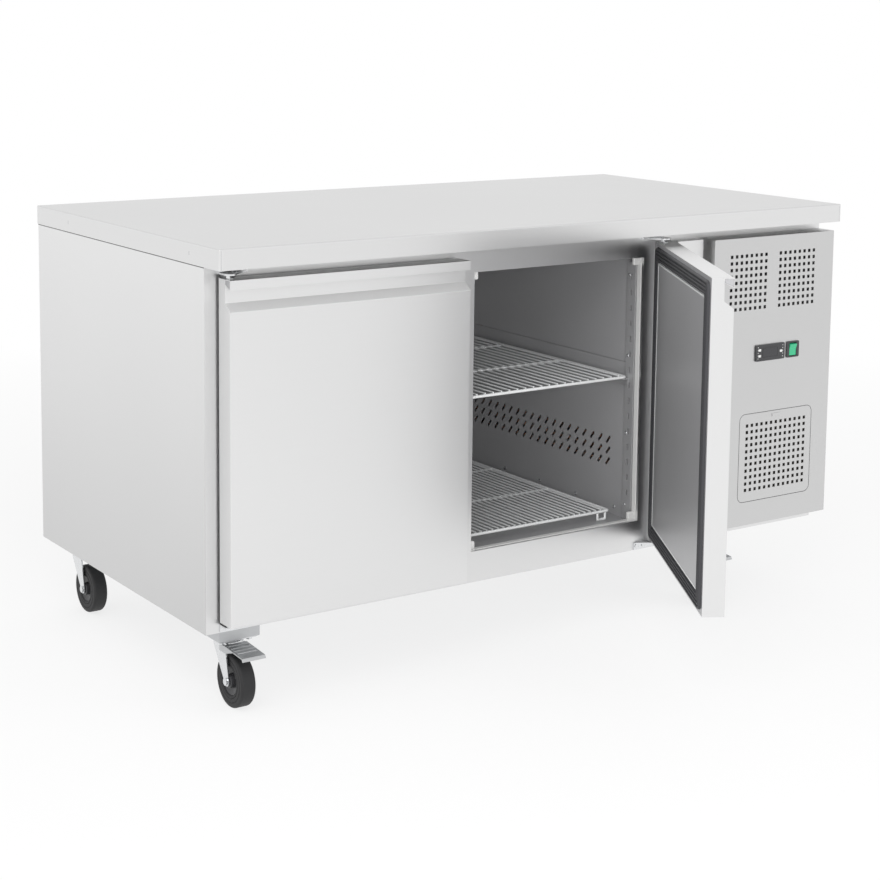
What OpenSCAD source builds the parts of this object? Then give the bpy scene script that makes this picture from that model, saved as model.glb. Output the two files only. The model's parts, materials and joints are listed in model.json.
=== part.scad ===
// Two-door counter refrigerator on castors: insulated box on the left, machine bay on the right.
// X runs left to right, Y front to back, Z up from the floor. All sizes are in millimetres.
// Inside the modules, X is measured from the worktop's left edge and Y from its front edge;
// to_origin() then moves everything to the middle of the whole object's footprint.

/* [Worktop] */
// Depth of the worktop, front to back
top_d = 800; // [720:5:960]
// Height of the worktop's folded edge
top_t = 38; // [30:1:46]
// Thickness of the worktop sheet
top_sheet = 1.5; // [1:0.1:2]

/* [Cabinet] */
// Width of the machine bay at the right
bay_w = 365; // [345:5:440]
// Width of the post between the right door and the machine bay
post_w = 87; // [80:1:110]
// Distance of the front frame behind the worktop's front edge
frame_y = 60; // [58:1:72]
// Inset of the side and back panels from the worktop's edge
panel_inset = 2; // [1:0.5:4]
// Thickness of the outer sheet
skin_t = 1.2; // [0.8:0.1:1.6]
// Height of the sill below the door openings
sill_h = 62; // [58:1:80]
// Height of the head rail above the door openings
head_h = 51; // [44:1:60]
// Thickness of the insulation at the back
foam_back = 45; // [35:1:70]
// Depth of the evaporator space behind its cover
evap_space = 88; // [80:1:95]

/* [Doors] */
// Width of each door
door_w = 512; // [440:2:620]
// Height of each door
door_h = 624; // [520:2:750]
// Thickness of the door shell without its gasket
door_t = 42; // [34:1:46]
// Gap between the two doors
door_gap = 6; // [5:0.5:12]
// Distance of the doors' front faces behind the worktop's front edge
door_y = 12; // [8:1:14]
// Width of the frame showing left of the left door
door_edge = 28; // [20:1:40]
// Gap between the door and the underside of the worktop
door_head_gap = 20; // [18:1:28]
// Height of the door above the bottom of the cabinet
door_rise = 21; // [20:1:30]
// Frame cover on the hinge side of each opening
hinge_margin = 50; // [44:1:60]
// Frame cover on the free side of each opening
free_margin = 37; // [34:1:46]
// Angle that the right door stands open at rest
open_angle = 60; // [0:1:100]
// Depth of the finger recess below the door's top edge
recess_d = 18; // [14:1:22]

/* [Castors] */
// Diameter of the wheels
wheel_d = 100; // [82:2:108]
// Width of the wheels
wheel_w = 30; // [24:1:36]
// Height from the floor to the underside of the base rails
castor_h = 130; // [128:1:150]
// Height of the base rails
rail_h = 27; // [20:1:40]
// Distance of the castors in from the left side
castor_x = 81; // [70:1:110]
// Distance of the swivel axes in from the front
castor_y = 122; // [112:1:150]
// Distance of the wheel's axle from the swivel axis
trail = 30; // [24:1:36]
// Distance between the left and the right castors
castor_span = 1140; // [900:5:1160]

/* [Shelves] */
// Height of the upper shelves above the cabinet floor
shelf_rise = 308; // [200:1:420]
// Height of the lower shelves' feet
foot_h = 22; // [18:1:40]
// Diameter of the shelf frame wire
frame_wire = 6; // [5:0.5:8]
// Diameter of the shelf wires
thin_wire = 3.2; // [2.5:0.1:4]
// Spacing of the upper shelves' wires
upper_pitch = 20; // [14:1:30]
// Spacing of the lower shelves' wires
lower_pitch = 14; // [10:1:30]

/* [Machine panel] */
// Spacing of the air holes
hole_pitch = 14; // [12:0.5:16]
// Width of each square air hole
hole_w = 7; // [5:0.5:8]
// Width of the filter cover
filter_w = 210; // [180:2:220]
// Height of the filter cover
filter_h = 190; // [160:2:210]
// Width of the controller's face
control_w = 84; // [76:1:90]
// Height of the controller's face
control_h = 35; // [32:1:40]
// Diameter of the condenser fan
fan_d = 200; // [170:2:210]

/* [Fits] */
// Radial clearance of pins and shafts in their bores
pin_clear = 0.05; // [0.02:0.01:0.08]
// Running gap between parts that move past each other
run_gap = 0.5; // [0.3:0.1:1]
// Gap between laid-in parts
seat_gap = 0.2; // [0.1:0.05:0.4]
// Diameter of the door hinge pins
hinge_pin = 8; // [6:0.5:10]

/* [Hidden] */

$fn = 48;
steel = [0.80, 0.80, 0.79];
bright = [0.88, 0.88, 0.87];
dark = [0.12, 0.12, 0.13];
grey = [0.42, 0.42, 0.43];
foam_colour = [0.86, 0.80, 0.62];
copper = [0.72, 0.45, 0.28];
cut = 1; // overshoot of every cutting body

// Heights
base_z = castor_h + rail_h;
door_z = base_z + door_rise;
under_z = door_z + door_h + door_head_gap;
total_h = under_z + top_t;
open_z0 = base_z + sill_h;
open_z1 = under_z - head_h;
open_h = open_z1 - open_z0;
// Widths
left_x = door_edge;
right_x = left_x + door_w + door_gap;
post_x = right_x + door_w;
bay_x = post_x + post_w;
top_w = bay_x + bay_w;
open_w = door_w - hinge_margin - free_margin;
left_open_x = left_x + hinge_margin;
right_open_x = right_x + free_margin;
// Door hinge axes
pivot_in = 14;
pivot_back = 27;
pivot_y = door_y + pivot_back;
left_pivot_x = left_x + pivot_in;
right_pivot_x = post_x - pivot_in;
gasket_gap = 0.3;
gasket_t = frame_y - door_y - door_t - gasket_gap;
// Where the whole object's front and back lie, with the right door open
door_reach = door_w - pivot_in;
corner_front = -door_reach * sin(open_angle) - pivot_back * cos(open_angle);
front_y = min(0, pivot_y + corner_front);
door_sweep = sqrt(pivot_in * pivot_in + pivot_back * pivot_back) - pivot_in;
mid_y = (front_y + top_d) / 2;
// Insulated chamber
frame_t = 2;
jamb_t = 1.5;
jamb_d = 18;
liner_t = 1;
floor_z = open_z0 - 7;
ceil_z = open_z1 + 7;
cham_x0 = left_open_x - 2;
cover_x = right_open_x + open_w + 2;
cham_x1 = cover_x + evap_space;
cham_y0 = frame_y + jamb_d;
back_y = top_d - panel_inset;
cham_y1 = back_y - skin_t - foam_back;
mullion_x = left_open_x + open_w;
mullion_w = right_open_x - mullion_x;
mullion_d = 14;
centre_x = mullion_x + mullion_w / 2;
// Machine panel
panel_gap = 14;
panel_x = bay_x + panel_gap;
panel_w = bay_w - panel_gap - 5;
panel_z = base_z + 24;
panel_h = under_z - 20 - panel_z;
panel_t = 1.2;
// Places on the machine panel: how far in from its left edge and up from its lower edge
filter_shift = 17;
filter_up = 52;
control_in = 122;
control_up = 354;
grille_in = 48;
grille_step = 140;
grille_drop = 39;
filter_x = panel_x + (panel_w - filter_w) / 2 + filter_shift;
filter_z = panel_z + filter_up;
control_x = panel_x + control_in;
control_z = panel_z + control_up;
switch_w = 36;
switch_h = 35;
switch_x = control_x + control_w + 7;
rocker_w = 20;
rocker_tilt = 9;
grille_cols = 8;
grille_rows = 9;
grille_z = panel_z + panel_h - grille_drop - (grille_rows - 1) * hole_pitch;
grille_x1 = panel_x + grille_in;
grille_x2 = grille_x1 + grille_step;
// Shelves
shelf_y0 = cham_y0 + 17;
shelf_y1 = cham_y1 - 16;
pilaster_w = 25;
pilaster_t = 6;
pilaster_y0 = cham_y0 + 2;
pilaster_y1 = cham_y1 - 40 - pilaster_w;
post_side = 20;
wire_gap = 0.04;
upper_z = floor_z + shelf_rise;
// Upper shelves lie between the pilasters' faces and the centre posts
side_gap = 2;
upper_left_x0 = cham_x0 + pilaster_t + side_gap;
upper_left_x1 = centre_x - post_side / 2 - side_gap;
upper_right_x0 = centre_x + post_side / 2 + side_gap;
upper_right_x1 = cover_x - pilaster_t - side_gap;
lower_inset = 28;
// Castors
rail_w = 84;
plate_t = 3;
kingpin_d = 12;
axle_d = 8;
leg_t = 2.5;
hub_gap = 1;
leg_x = wheel_w / 2 + 2 + hub_gap;
axle_z = wheel_d / 2;
fork_z = castor_h - plate_t - 9;
castor_back_y = top_d - 38;
castors = [[castor_x, castor_y], [castor_x + castor_span, castor_y],
    [castor_x, castor_back_y], [castor_x + castor_span, castor_back_y]];
pedal_w = 48;
pedal_pin_y = -16;
pedal_pin_z = fork_z - 8;
pedal_pin_d = 5;
bolt_d = 8;
bolt_out = 28;
// Machine bay
inlet_x = bay_x + 300;
inlet_z = base_z + 40;
inlet_d = 20;
comp_x = bay_x + 180;
comp_y = top_d - 230;
comp_z = base_z + skin_t + 30;
comp_r = 78;
comp_h = 190;
cond_w = filter_w + 10;
cond_x = filter_x - 5;
cond_y = frame_y + frame_t + 3;
cond_d = 44;
cond_z = base_z + skin_t;
cond_h = filter_z + filter_h + 12 - cond_z;
cond_fan_x = cond_x + cond_w / 2;
cond_fan_z = cond_z + cond_h / 2;
shroud_y = cond_y + cond_d + 1;
shroud_d = 40;
motor_y = shroud_y + shroud_d + 12;

// ---------------------------------------------------------------- helpers
module to_origin() {
    translate([-top_w / 2, -mid_y, 0]) children();
}

// A box from its lowest corner and its sizes
module block(at, size) {
    translate(at) cube(size);
}

// Extrudes a Y-Z outline along X
module along_x(length) {
    rotate([90, 0, 90]) linear_extrude(length) children();
}

// Extrudes an X-Z outline towards +Y
module along_y(length) {
    translate([0, length, 0]) rotate([90, 0, 0]) linear_extrude(length) children();
}

// A round bar from a point, along an axis
module bar_x(at, length, d) {
    translate(at) rotate([0, 90, 0]) cylinder(d = d, h = length);
}

module bar_y(at, length, d) {
    translate(at) rotate([-90, 0, 0]) cylinder(d = d, h = length);
}

module bar_z(at, length, d) {
    translate(at) cylinder(d = d, h = length);
}

// A rectangle with rounded corners, drawn exactly
module round_rect(w, h, r) {
    translate([r, 0]) square([w - 2 * r, h]);
    translate([0, r]) square([w, h - 2 * r]);
    for (x = [r, w - r], y = [r, h - r]) translate([x, y]) circle(r);
}

// ---------------------------------------------------------------- cabinet shell
module worktop() {
    color(bright) to_origin() difference() {
        block([0, 0, under_z], [top_w, top_d, top_t]);
        block([top_sheet, top_sheet, under_z - cut],
            [top_w - 2 * top_sheet, top_d - 2 * top_sheet, top_t - top_sheet + cut]);
    }
}

// Flat sheet from the front frame to the back
module side_sheet(x) {
    block([x, frame_y, base_z], [skin_t, back_y - frame_y, under_z - base_z]);
}

module side_panel_left() {
    color(steel) to_origin() side_sheet(panel_inset);
}

// The machine bay's side sheet is slotted low down for its air
module side_panel_right() {
    slots = 9;
    slot_pitch = 22;
    slot_w = 8;
    slot_h = 120;
    slot_up = 70;
    x = top_w - panel_inset - skin_t;
    color(steel) to_origin() difference() {
        side_sheet(x);
        for (i = [0 : slots - 1])
            block([x - cut, top_d * 0.55 + i * slot_pitch, base_z + slot_up],
                [skin_t + 2 * cut, slot_w, slot_h]);
    }
}

module back_panel() {
    vents = 12;
    vent_pitch = 20;
    vent_w = 10;
    vent_h = 160;
    vent_in = 62;
    vent_up = 90;
    x0 = panel_inset + skin_t;
    color(steel) to_origin() difference() {
        block([x0, back_y - skin_t, base_z], [top_w - 2 * x0, skin_t, under_z - base_z]);
        for (i = [0 : vents - 1])
            block([bay_x + vent_in + i * vent_pitch, back_y - skin_t - cut, base_z + vent_up],
                [vent_w, skin_t + 2 * cut, vent_h]);
        translate([inlet_x, back_y - skin_t - cut, inlet_z])
            rotate([-90, 0, 0]) cylinder(d = inlet_d, h = skin_t + 2 * cut);
    }
}

module base_panel() {
    x0 = panel_inset + skin_t;
    color(steel) to_origin()
        block([x0, frame_y + frame_t, base_z],
            [top_w - 2 * x0, back_y - skin_t - frame_y - frame_t, skin_t]);
}

// Two channels under the base that carry the castors
module base_rails() {
    rail_y0 = castor_y - 42;
    rail_len = castor_back_y + 30 - rail_y0;
    wall = 2.5;
    color(grey) to_origin() for (x = [castor_x, castor_x + castor_span]) difference() {
        block([x - rail_w / 2, rail_y0, castor_h], [rail_w, rail_len, rail_h]);
        block([x - rail_w / 2 + wall, rail_y0 - cut, castor_h + wall],
            [rail_w - 2 * wall, rail_len + 2 * cut, rail_h - wall + cut]);
        for (c = castors, sx = [-1, 1], sy = [-1, 1])
            bar_z([c[0] + sx * bolt_out, c[1] + sy * bolt_out, castor_h - cut],
                wall + 2 * cut, bolt_d + 0.4);
    }
}

// Steel wall between the insulated box and the machine bay
module partition_panel() {
    color(steel) to_origin() difference() {
        block([bay_x - skin_t, frame_y + frame_t, base_z + skin_t],
            [skin_t, back_y - skin_t - frame_y - frame_t, under_z - base_z - skin_t]);
        pipe_passages();
    }
}

// Face frame with its jamb returns, round the two doors and the machine bay
module front_frame() {
    bay_open_x = bay_x + 24;
    bay_open_w = bay_w - 24 - 18;
    color(bright) to_origin() {
        difference() {
            block([panel_inset + skin_t, frame_y, base_z],
                [top_w - 2 * (panel_inset + skin_t), frame_t, under_z - base_z]);
            for (x = [left_open_x, right_open_x])
                block([x, frame_y - cut, open_z0], [open_w, frame_t + 2 * cut, open_h]);
            block([bay_open_x, frame_y - cut, panel_z + 14],
                [bay_open_w, frame_t + 2 * cut, panel_h - 28]);
        }
        for (x = [left_open_x, right_open_x]) jamb(x);
    }
}

module jamb(x) {
    translate([0, frame_y + frame_t, 0]) difference() {
        block([x - jamb_t, 0, open_z0 - jamb_t],
            [open_w + 2 * jamb_t, jamb_d - frame_t, open_h + 2 * jamb_t]);
        block([x, -cut, open_z0], [open_w, jamb_d + 2 * cut, open_h]);
    }
}

// Channel that closes the back of the post between the doors
module mullion_cover() {
    wall = 1.5;
    color(grey) to_origin() difference() {
        block([mullion_x, cham_y0 + seat_gap, floor_z + seat_gap],
            [mullion_w, mullion_d, ceil_z - floor_z - 2 * seat_gap]);
        block([mullion_x + wall, cham_y0 - cut, floor_z - cut],
            [mullion_w - 2 * wall, mullion_d - wall + cut + seat_gap, ceil_z - floor_z + 2 * cut]);
    }
}

module insulation() {
    y0 = frame_y + frame_t;
    color(foam_colour) to_origin() difference() {
        block([panel_inset + skin_t, y0, base_z + skin_t],
            [bay_x - skin_t - panel_inset - skin_t, back_y - skin_t - y0,
             under_z - base_z - skin_t]);
        block([cham_x0 - liner_t, cham_y0, floor_z - liner_t],
            [cham_x1 - cham_x0 + 2 * liner_t, cham_y1 - cham_y0 + liner_t,
             ceil_z - floor_z + 2 * liner_t]);
        for (x = [left_open_x, right_open_x])
            block([x - jamb_t, y0 - cut, open_z0 - jamb_t],
                [open_w + 2 * jamb_t, jamb_d + 2 * cut, open_h + 2 * jamb_t]);
        pipe_passages();
    }
}

module inner_liner() {
    color(grey) to_origin() difference() {
        block([cham_x0 - liner_t, cham_y0, floor_z - liner_t],
            [cham_x1 - cham_x0 + 2 * liner_t, cham_y1 - cham_y0 + liner_t,
             ceil_z - floor_z + 2 * liner_t]);
        block([cham_x0, cham_y0 - cut, floor_z],
            [cham_x1 - cham_x0, cham_y1 - cham_y0 + cut, ceil_z - floor_z]);
        pipe_passages();
    }
}

// ---------------------------------------------------------------- cold air
slot_rows = 3;
slot_cols = 20;
slot_pitch_y = 26.5;
slot_pitch_z = 23;
slot_y0 = cham_y0 + 85;
slot_z0 = floor_z + 112;
evap_fan_y = cham_y0 + 470;
evap_fan_z = floor_z + 460;
evap_fan_d = 150;
seam_z = floor_z + 333;

// Two plates that form the chamber's right wall; the lower one has slanted air slots,
// and the upper one stops short of the back wall, where the cold air comes out
module evaporator_cover() {
    plate = 1.2;
    outlet = 60;
    y0 = cham_y0 + seat_gap;
    depth = cham_y1 - y0 - seat_gap;
    color(grey) to_origin() {
        translate([cover_x, 0, 0]) along_x(plate) difference() {
            translate([y0, floor_z + seat_gap]) square([depth, seam_z - floor_z - seat_gap]);
            for (i = [0 : slot_cols - 1], k = [0 : slot_rows - 1])
                if (slot_y0 + i * slot_pitch_y < y0 + depth - 30)
                    translate([slot_y0 + i * slot_pitch_y, slot_z0 + k * slot_pitch_z])
                        rotate(38) translate([-3, -10]) square([6, 20]);
        }
        block([cover_x + 0.6, y0, seam_z + 0.6],
            [plate, depth - outlet, ceil_z - seam_z - 0.6 - seat_gap]);
        cover_feet(y0, depth);
    }
}

// Angles that fix the cover to the liner's ceiling and floor
module cover_feet(y0, depth) {
    for (z = [floor_z + seat_gap, ceil_z - seat_gap - 14])
        block([cover_x + 1.2 + 0.6, y0 + 20, z], [12, depth - 40, 14]);
}

coil_rows = 6;
coil_tube_d = 9.5;
coil_pitch = 26;
coil_y0 = cham_y0 + 60;
coil_z0 = floor_z + 60;
coil_x0 = cover_x + 16;
coil_depth = 56;
coil_len = min(560, cham_y1 - coil_y0 - 54);

// Fin block on two rows of tubes, held by two end plates that stand on the floor
module evaporator_coil() {
    fin_t = 0.6;
    fins = 15;
    fin_gap = (coil_len - 30) / (fins - 1);
    fin_h = coil_rows * coil_pitch;
    color(steel) to_origin() {
        for (i = [0 : fins - 1]) translate([0, coil_y0 + 15 + i * fin_gap, 0])
            along_y(fin_t) coil_plate(coil_x0, coil_z0, coil_depth, fin_h);
        for (k = [0 : coil_rows - 1], j = [0, 1])
            bar_y([coil_x0 + 16 + 24 * j, coil_y0, coil_z0 + coil_pitch * (k + 0.5)],
                coil_len, coil_tube_d);
        for (y = [coil_y0 + 2, coil_y0 + coil_len - 6]) translate([0, y, 0])
            along_y(2) coil_plate(coil_x0 - 1, floor_z + seat_gap, coil_depth + 2,
                coil_z0 + fin_h - floor_z);
    }
}

module coil_plate(x, z, w, h) {
    difference() {
        translate([x, z]) square([w, h]);
        for (k = [0 : coil_rows - 1], j = [0, 1])
            translate([coil_x0 + 16 + 24 * j, coil_z0 + coil_pitch * (k + 0.5)])
                circle(d = coil_tube_d + 0.1);
    }
}

fan_shaft_d = 6;

module evaporator_motor() {
    body_d = 62;
    x0 = cover_x + 40;
    color(dark) to_origin() difference() {
        union() {
            bar_x([x0, evap_fan_y, evap_fan_z], cham_x1 - seat_gap - x0, body_d);
            for (s = [-1, 1])
                block([cham_x1 - seat_gap - 6, evap_fan_y + s * 60 - 14, evap_fan_z - 10], [6, 28, 20]);
            block([cham_x1 - seat_gap - 6, evap_fan_y - 60, evap_fan_z - 8], [6, 120, 16]);
        }
        bar_x([x0 - cut, evap_fan_y, evap_fan_z], 24, fan_shaft_d + 2 * pin_clear);
    }
}

// Five sheet blades round a hub, on a shaft that runs in the motor
module axial_fan(outer_d, hub_d, hub_l, blades) {
    cylinder(d = hub_d, h = hub_l);
    translate([0, 0, hub_l]) cylinder(d = fan_shaft_d, h = 20);
    for (i = [0 : blades - 1]) rotate([0, 0, i * 360 / blades])
        translate([hub_d / 2 - 1.5, 0, hub_l / 2]) rotate([28, 0, 0])
            translate([0, -outer_d * 0.11, -0.6])
                linear_extrude(1.2) round_rect(outer_d / 2 - hub_d / 2, outer_d * 0.22, 8);
}

module evaporator_fan() {
    color(dark) to_origin() translate([cover_x + 40 - run_gap - 22, evap_fan_y, evap_fan_z])
        rotate([0, 90, 0]) axial_fan(evap_fan_d - 12, 36, 22, 5);
}

// ---------------------------------------------------------------- shelves
// One slotted strip that stands on the floor; the strip's thickness runs along +X
module slotted_strip(x, y, t, w) {
    slot_gap = 32.5;
    height = ceil_z - floor_z - 2 * seat_gap - 20;
    difference() {
        block([x, y, floor_z + seat_gap], [t, w, height]);
        for (z = [floor_z + 54 : slot_gap : floor_z + height - 30])
            block([x - cut, y + w / 2 - 2.5, z], [t + 2 * cut, 5, 12]);
    }
}

module pilasters() {
    color(grey) to_origin() for (y = [pilaster_y0, pilaster_y1]) {
        slotted_strip(cham_x0 + seat_gap, y, pilaster_t - seat_gap, pilaster_w);
        slotted_strip(cover_x - pilaster_t, y, pilaster_t - seat_gap, pilaster_w);
        slotted_strip(centre_x - post_side / 2, max(y, cham_y0 + mullion_d + 1), post_side,
            pilaster_w);
    }
}

// Angle rails under the upper shelves' side wires; each hooks on to two strips
module shelf_supports() {
    t = 1.5;
    ledge = 14;
    z = upper_z - frame_wire - wire_gap - t;
    len = shelf_y1 - shelf_y0;
    color(steel) to_origin() for (s = [[upper_left_x0 - side_gap + seat_gap, 1],
            [upper_left_x1 + side_gap - seat_gap, -1], [upper_right_x0 - side_gap + seat_gap, 1],
            [upper_right_x1 + side_gap - seat_gap, -1]])
        translate([s[0], shelf_y0, z]) mirror([s[1] < 0 ? 1 : 0, 0, 0]) {
            cube([ledge, len, t]);
            translate([0, 0, -12]) cube([t, len, 12 + t]);
        }
}

// Frame of round wire with rounded corners, two cross bars below and thin wires on top
module wire_shelf(x0, x1, y0, y1, z, pitch) {
    r = frame_wire / 2;
    corner = 10;
    w = x1 - x0;
    d = y1 - y0;
    wires = floor((w - 2 * corner) / pitch);
    first = x0 + (w - (wires - 1) * pitch) / 2;
    for (y = [y0 + r, y1 - r]) bar_x([x0 + corner, y, z - r], w - 2 * corner, frame_wire);
    for (x = [x0 + r, x1 - r]) bar_y([x, y0 + corner, z - r], d - 2 * corner, frame_wire);
    for (c = [[x0 + corner, y0 + corner, 180], [x1 - corner, y0 + corner, 270],
            [x1 - corner, y1 - corner, 0], [x0 + corner, y1 - corner, 90]])
        translate([c[0], c[1], z - r]) rotate([0, 0, c[2]])
            rotate_extrude(angle = 90) translate([corner - r, 0]) circle(r);
    for (y = [y0 + d / 3, y0 + d * 2 / 3])
        bar_x([x0 + frame_wire + wire_gap, y, z - r], w - 2 * frame_wire - 2 * wire_gap,
            frame_wire - 1);
    for (i = [0 : wires - 1])
        bar_y([first + i * pitch, y0 + 1, z + thin_wire / 2 + wire_gap], d - 2, thin_wire);
}

// A bent-wire foot at a corner of a lower shelf
module wire_foot(x, y, z) {
    t = frame_wire - 1;
    for (dx = [0, 20]) bar_z([x + dx, y, floor_z + t / 2 + wire_gap],
        z - frame_wire - wire_gap - floor_z - t / 2 - wire_gap, t);
    for (dx = [0, 20]) translate([x + dx, y, floor_z + t / 2 + wire_gap]) sphere(d = t);
    bar_x([x, y, floor_z + t / 2 + wire_gap], 20, t);
}

module upper_shelf(x0, x1) {
    color(bright) to_origin() wire_shelf(x0, x1, shelf_y0, shelf_y1, upper_z, upper_pitch);
}

module lower_shelf(x0, x1) {
    z = floor_z + foot_h;
    y0 = shelf_y0 + 22;
    color(bright) to_origin() {
        wire_shelf(x0, x1, y0, shelf_y1, z, lower_pitch);
        for (x = [x0 + 12, x1 - 32], y = [y0 + frame_wire / 2, shelf_y1 - frame_wire / 2])
            wire_foot(x, y, z);
    }
}

module shelf_upper_left() { upper_shelf(upper_left_x0, upper_left_x1); }
module shelf_upper_right() { upper_shelf(upper_right_x0, upper_right_x1); }
module shelf_lower_left() { lower_shelf(cham_x0 + lower_inset, centre_x - lower_inset); }
module shelf_lower_right() { lower_shelf(centre_x + lower_inset, cover_x - lower_inset); }

// ---------------------------------------------------------------- machine bay front
// Folded cover over the post beside the right door, clear of the door's swing
module post_cover() {
    x0 = post_x + door_sweep + 2 * run_gap;
    w = bay_x - x0;
    proud = 28;
    color(bright) to_origin() difference() {
        block([x0, frame_y - proud, door_z], [w, proud, door_h]);
        block([x0 + panel_t, frame_y - proud + panel_t, door_z + panel_t],
            [w - 2 * panel_t, proud + cut, door_h - 2 * panel_t]);
    }
}

module hole_grid(cols, rows) {
    for (i = [0 : cols - 1], k = [0 : rows - 1])
        translate([i * hole_pitch - hole_w / 2, k * hole_pitch - hole_w / 2]) square(hole_w);
}

filter_r = 14;
cover_gap = 0.6;
control_body_w = control_w - 8;
control_body_h = control_h - 7;

module panel_outline() {
    difference() {
        translate([panel_x, panel_z]) square([panel_w, panel_h]);
        for (x = [grille_x1, grille_x2]) translate([x, grille_z]) hole_grid(grille_cols, grille_rows);
        translate([filter_x - cover_gap, filter_z - cover_gap])
            round_rect(filter_w + 2 * cover_gap, filter_h + 2 * cover_gap, filter_r + cover_gap);
        translate([control_x + 4 - seat_gap, control_z + 3.5 - seat_gap])
            square([control_body_w + 2 * seat_gap, control_body_h + 2 * seat_gap]);
        translate([switch_x + 3 - seat_gap, control_z + 2 - seat_gap])
            square([switch_w - 6 + 2 * seat_gap, switch_h - 4 + 2 * seat_gap]);
    }
}

// Front of the machine bay: a pan with its edges folded back to the frame
module machine_panel() {
    fold = frame_y - door_y - seat_gap;
    color(bright) to_origin() {
        translate([0, door_y, 0]) along_y(panel_t) panel_outline();
        for (x = [panel_x, panel_x + panel_w - panel_t])
            block([x, door_y, panel_z], [panel_t, fold, panel_h]);
        for (z = [panel_z, panel_z + panel_h - panel_t])
            block([panel_x, door_y, z], [panel_w, fold, panel_t]);
    }
}

module filter_cover() {
    cols = floor((filter_w - 30) / hole_pitch) + 1;
    rows = floor((filter_h - 46) / hole_pitch) + 1;
    color(bright) to_origin() translate([0, door_y, 0]) along_y(panel_t) difference() {
        translate([filter_x, filter_z]) round_rect(filter_w, filter_h, filter_r);
        translate([filter_x + (filter_w - (cols - 1) * hole_pitch) / 2,
            filter_z + (filter_h - (rows - 1) * hole_pitch) / 2]) hole_grid(cols, rows);
    }
}

// Framed filter pad that lies against the back of the panel
module filter_mesh() {
    margin = 8;
    y0 = door_y + panel_t + seat_gap;
    color(grey) to_origin() {
        difference() {
            block([filter_x - margin, y0, filter_z - margin],
                [filter_w + 2 * margin, 8, filter_h + 2 * margin]);
            block([filter_x, y0 - cut, filter_z], [filter_w, 8 + 2 * cut, filter_h]);
        }
        block([filter_x + seat_gap, y0 + 2, filter_z + seat_gap],
            [filter_w - 2 * seat_gap, 4, filter_h - 2 * seat_gap]);
    }
}

bezel_t = 3;
button_w = 7;
button_h = 5;
button_proud = 0.6;
button_depth = 1.4;
button_gap = 0.3;
buttons = [[control_w - 11, control_h / 2], [11, control_h * 0.68], [11, control_h * 0.32]];

module button_outline(b, grow) {
    translate([control_x + b[0] - button_w / 2 - grow, control_z + b[1] - button_h / 2 - grow])
        square([button_w + 2 * grow, button_h + 2 * grow]);
}

module controller_body() {
    color(dark) to_origin() difference() {
        union() {
            translate([0, door_y - bezel_t, 0]) along_y(bezel_t)
                translate([control_x, control_z]) round_rect(control_w, control_h, 3);
            block([control_x + 4, door_y, control_z + 3.5], [control_body_w, 58, control_body_h]);
        }
        for (b = buttons) translate([0, door_y - bezel_t - cut, 0])
            along_y(cut + button_depth + 1) button_outline(b, button_gap);
    }
}

module push_button(b) {
    color(grey) to_origin() translate([0, door_y - bezel_t - button_proud, 0])
        along_y(button_proud + button_depth) button_outline(b, 0);
}

module button_set() { push_button(buttons[0]); }
module button_up() { push_button(buttons[1]); }
module button_down() { push_button(buttons[2]); }

rocker_h = 26;
rocker_y = door_y + 4.5;
rocker_z = control_z + switch_h / 2;
rocker_x = switch_x + switch_w / 2;
axle_stub = 2.4;
rocker_pin_d = 4;

module switch_housing() {
    side = 0.4;
    color(dark) to_origin() difference() {
        union() {
            translate([0, door_y - 2.5, 0]) along_y(2.5)
                translate([switch_x, control_z]) round_rect(switch_w, switch_h, 3);
            block([switch_x + 3, door_y, control_z + 2], [switch_w - 6, 26, switch_h - 4]);
        }
        block([rocker_x - rocker_w / 2 - side, door_y - 2.5 - cut, rocker_z - rocker_h / 2 - 1.5],
            [rocker_w + 2 * side, 2.5 + cut + 18, rocker_h + 3]);
        bar_x([rocker_x - rocker_w / 2 - axle_stub - 0.4, rocker_y, rocker_z],
            rocker_w + 2 * axle_stub + 0.8, rocker_pin_d + 2 * pin_clear);
    }
}

// Rocker with a shallow V front, drawn pressed at its lower end
module switch_rocker() {
    half = rocker_h / 2 - 0.5;
    color([0.05, 0.55, 0.30]) to_origin() translate([rocker_x, rocker_y, rocker_z])
        rotate([rocker_tilt, 0, 0]) {
            translate([-rocker_w / 2, 0, 0]) along_x(rocker_w)
                polygon([[-8.2, half], [-6.4, 0], [-8.2, -half], [1, -half], [5, 0], [1, half]]);
            bar_x([-rocker_w / 2 - axle_stub, 0, 0], rocker_w + 2 * axle_stub, rocker_pin_d);
        }
}

// ---------------------------------------------------------------- machine bay inside
// Points of a quarter arc, from angle a0 to a0 + 90, round a centre
function arc(cx, cy, r, a0, steps = 6) =
    [for (i = [0 : steps]) [cx + r * cos(a0 + i * 90 / steps), cy + r * sin(a0 + i * 90 / steps)]];

module compressor() {
    dome = 40;
    foot_x = 95;
    foot_y = 60;
    color(dark) to_origin() translate([comp_x, comp_y, 0]) {
        translate([0, 0, comp_z]) rotate_extrude()
            polygon(concat([[0, 0]], arc(comp_r - dome, dome, dome, -90),
                arc(comp_r - dome, comp_h - dome, dome, 0), [[0, comp_h]]));
        for (s = [-1, 1]) block([-foot_x - 14, s * foot_y - 16, comp_z - 8],
            [2 * foot_x + 28, 32, 4]);
        for (sx = [-1, 1], sy = [-1, 1]) translate([sx * foot_x, sy * foot_y, 0])
            bar_z([0, 0, base_z + skin_t], comp_z - 8 - base_z - skin_t, 22);
        for (s = [-1, 1]) block([-30, s * foot_y - 12, comp_z - 4], [60, 24, 12]);
        block([comp_r + 1 - 12, -30, comp_z + 60], [40, 60, 70]);
    }
}

cond_rows = 7;
cond_tube_d = 9.5;

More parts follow.
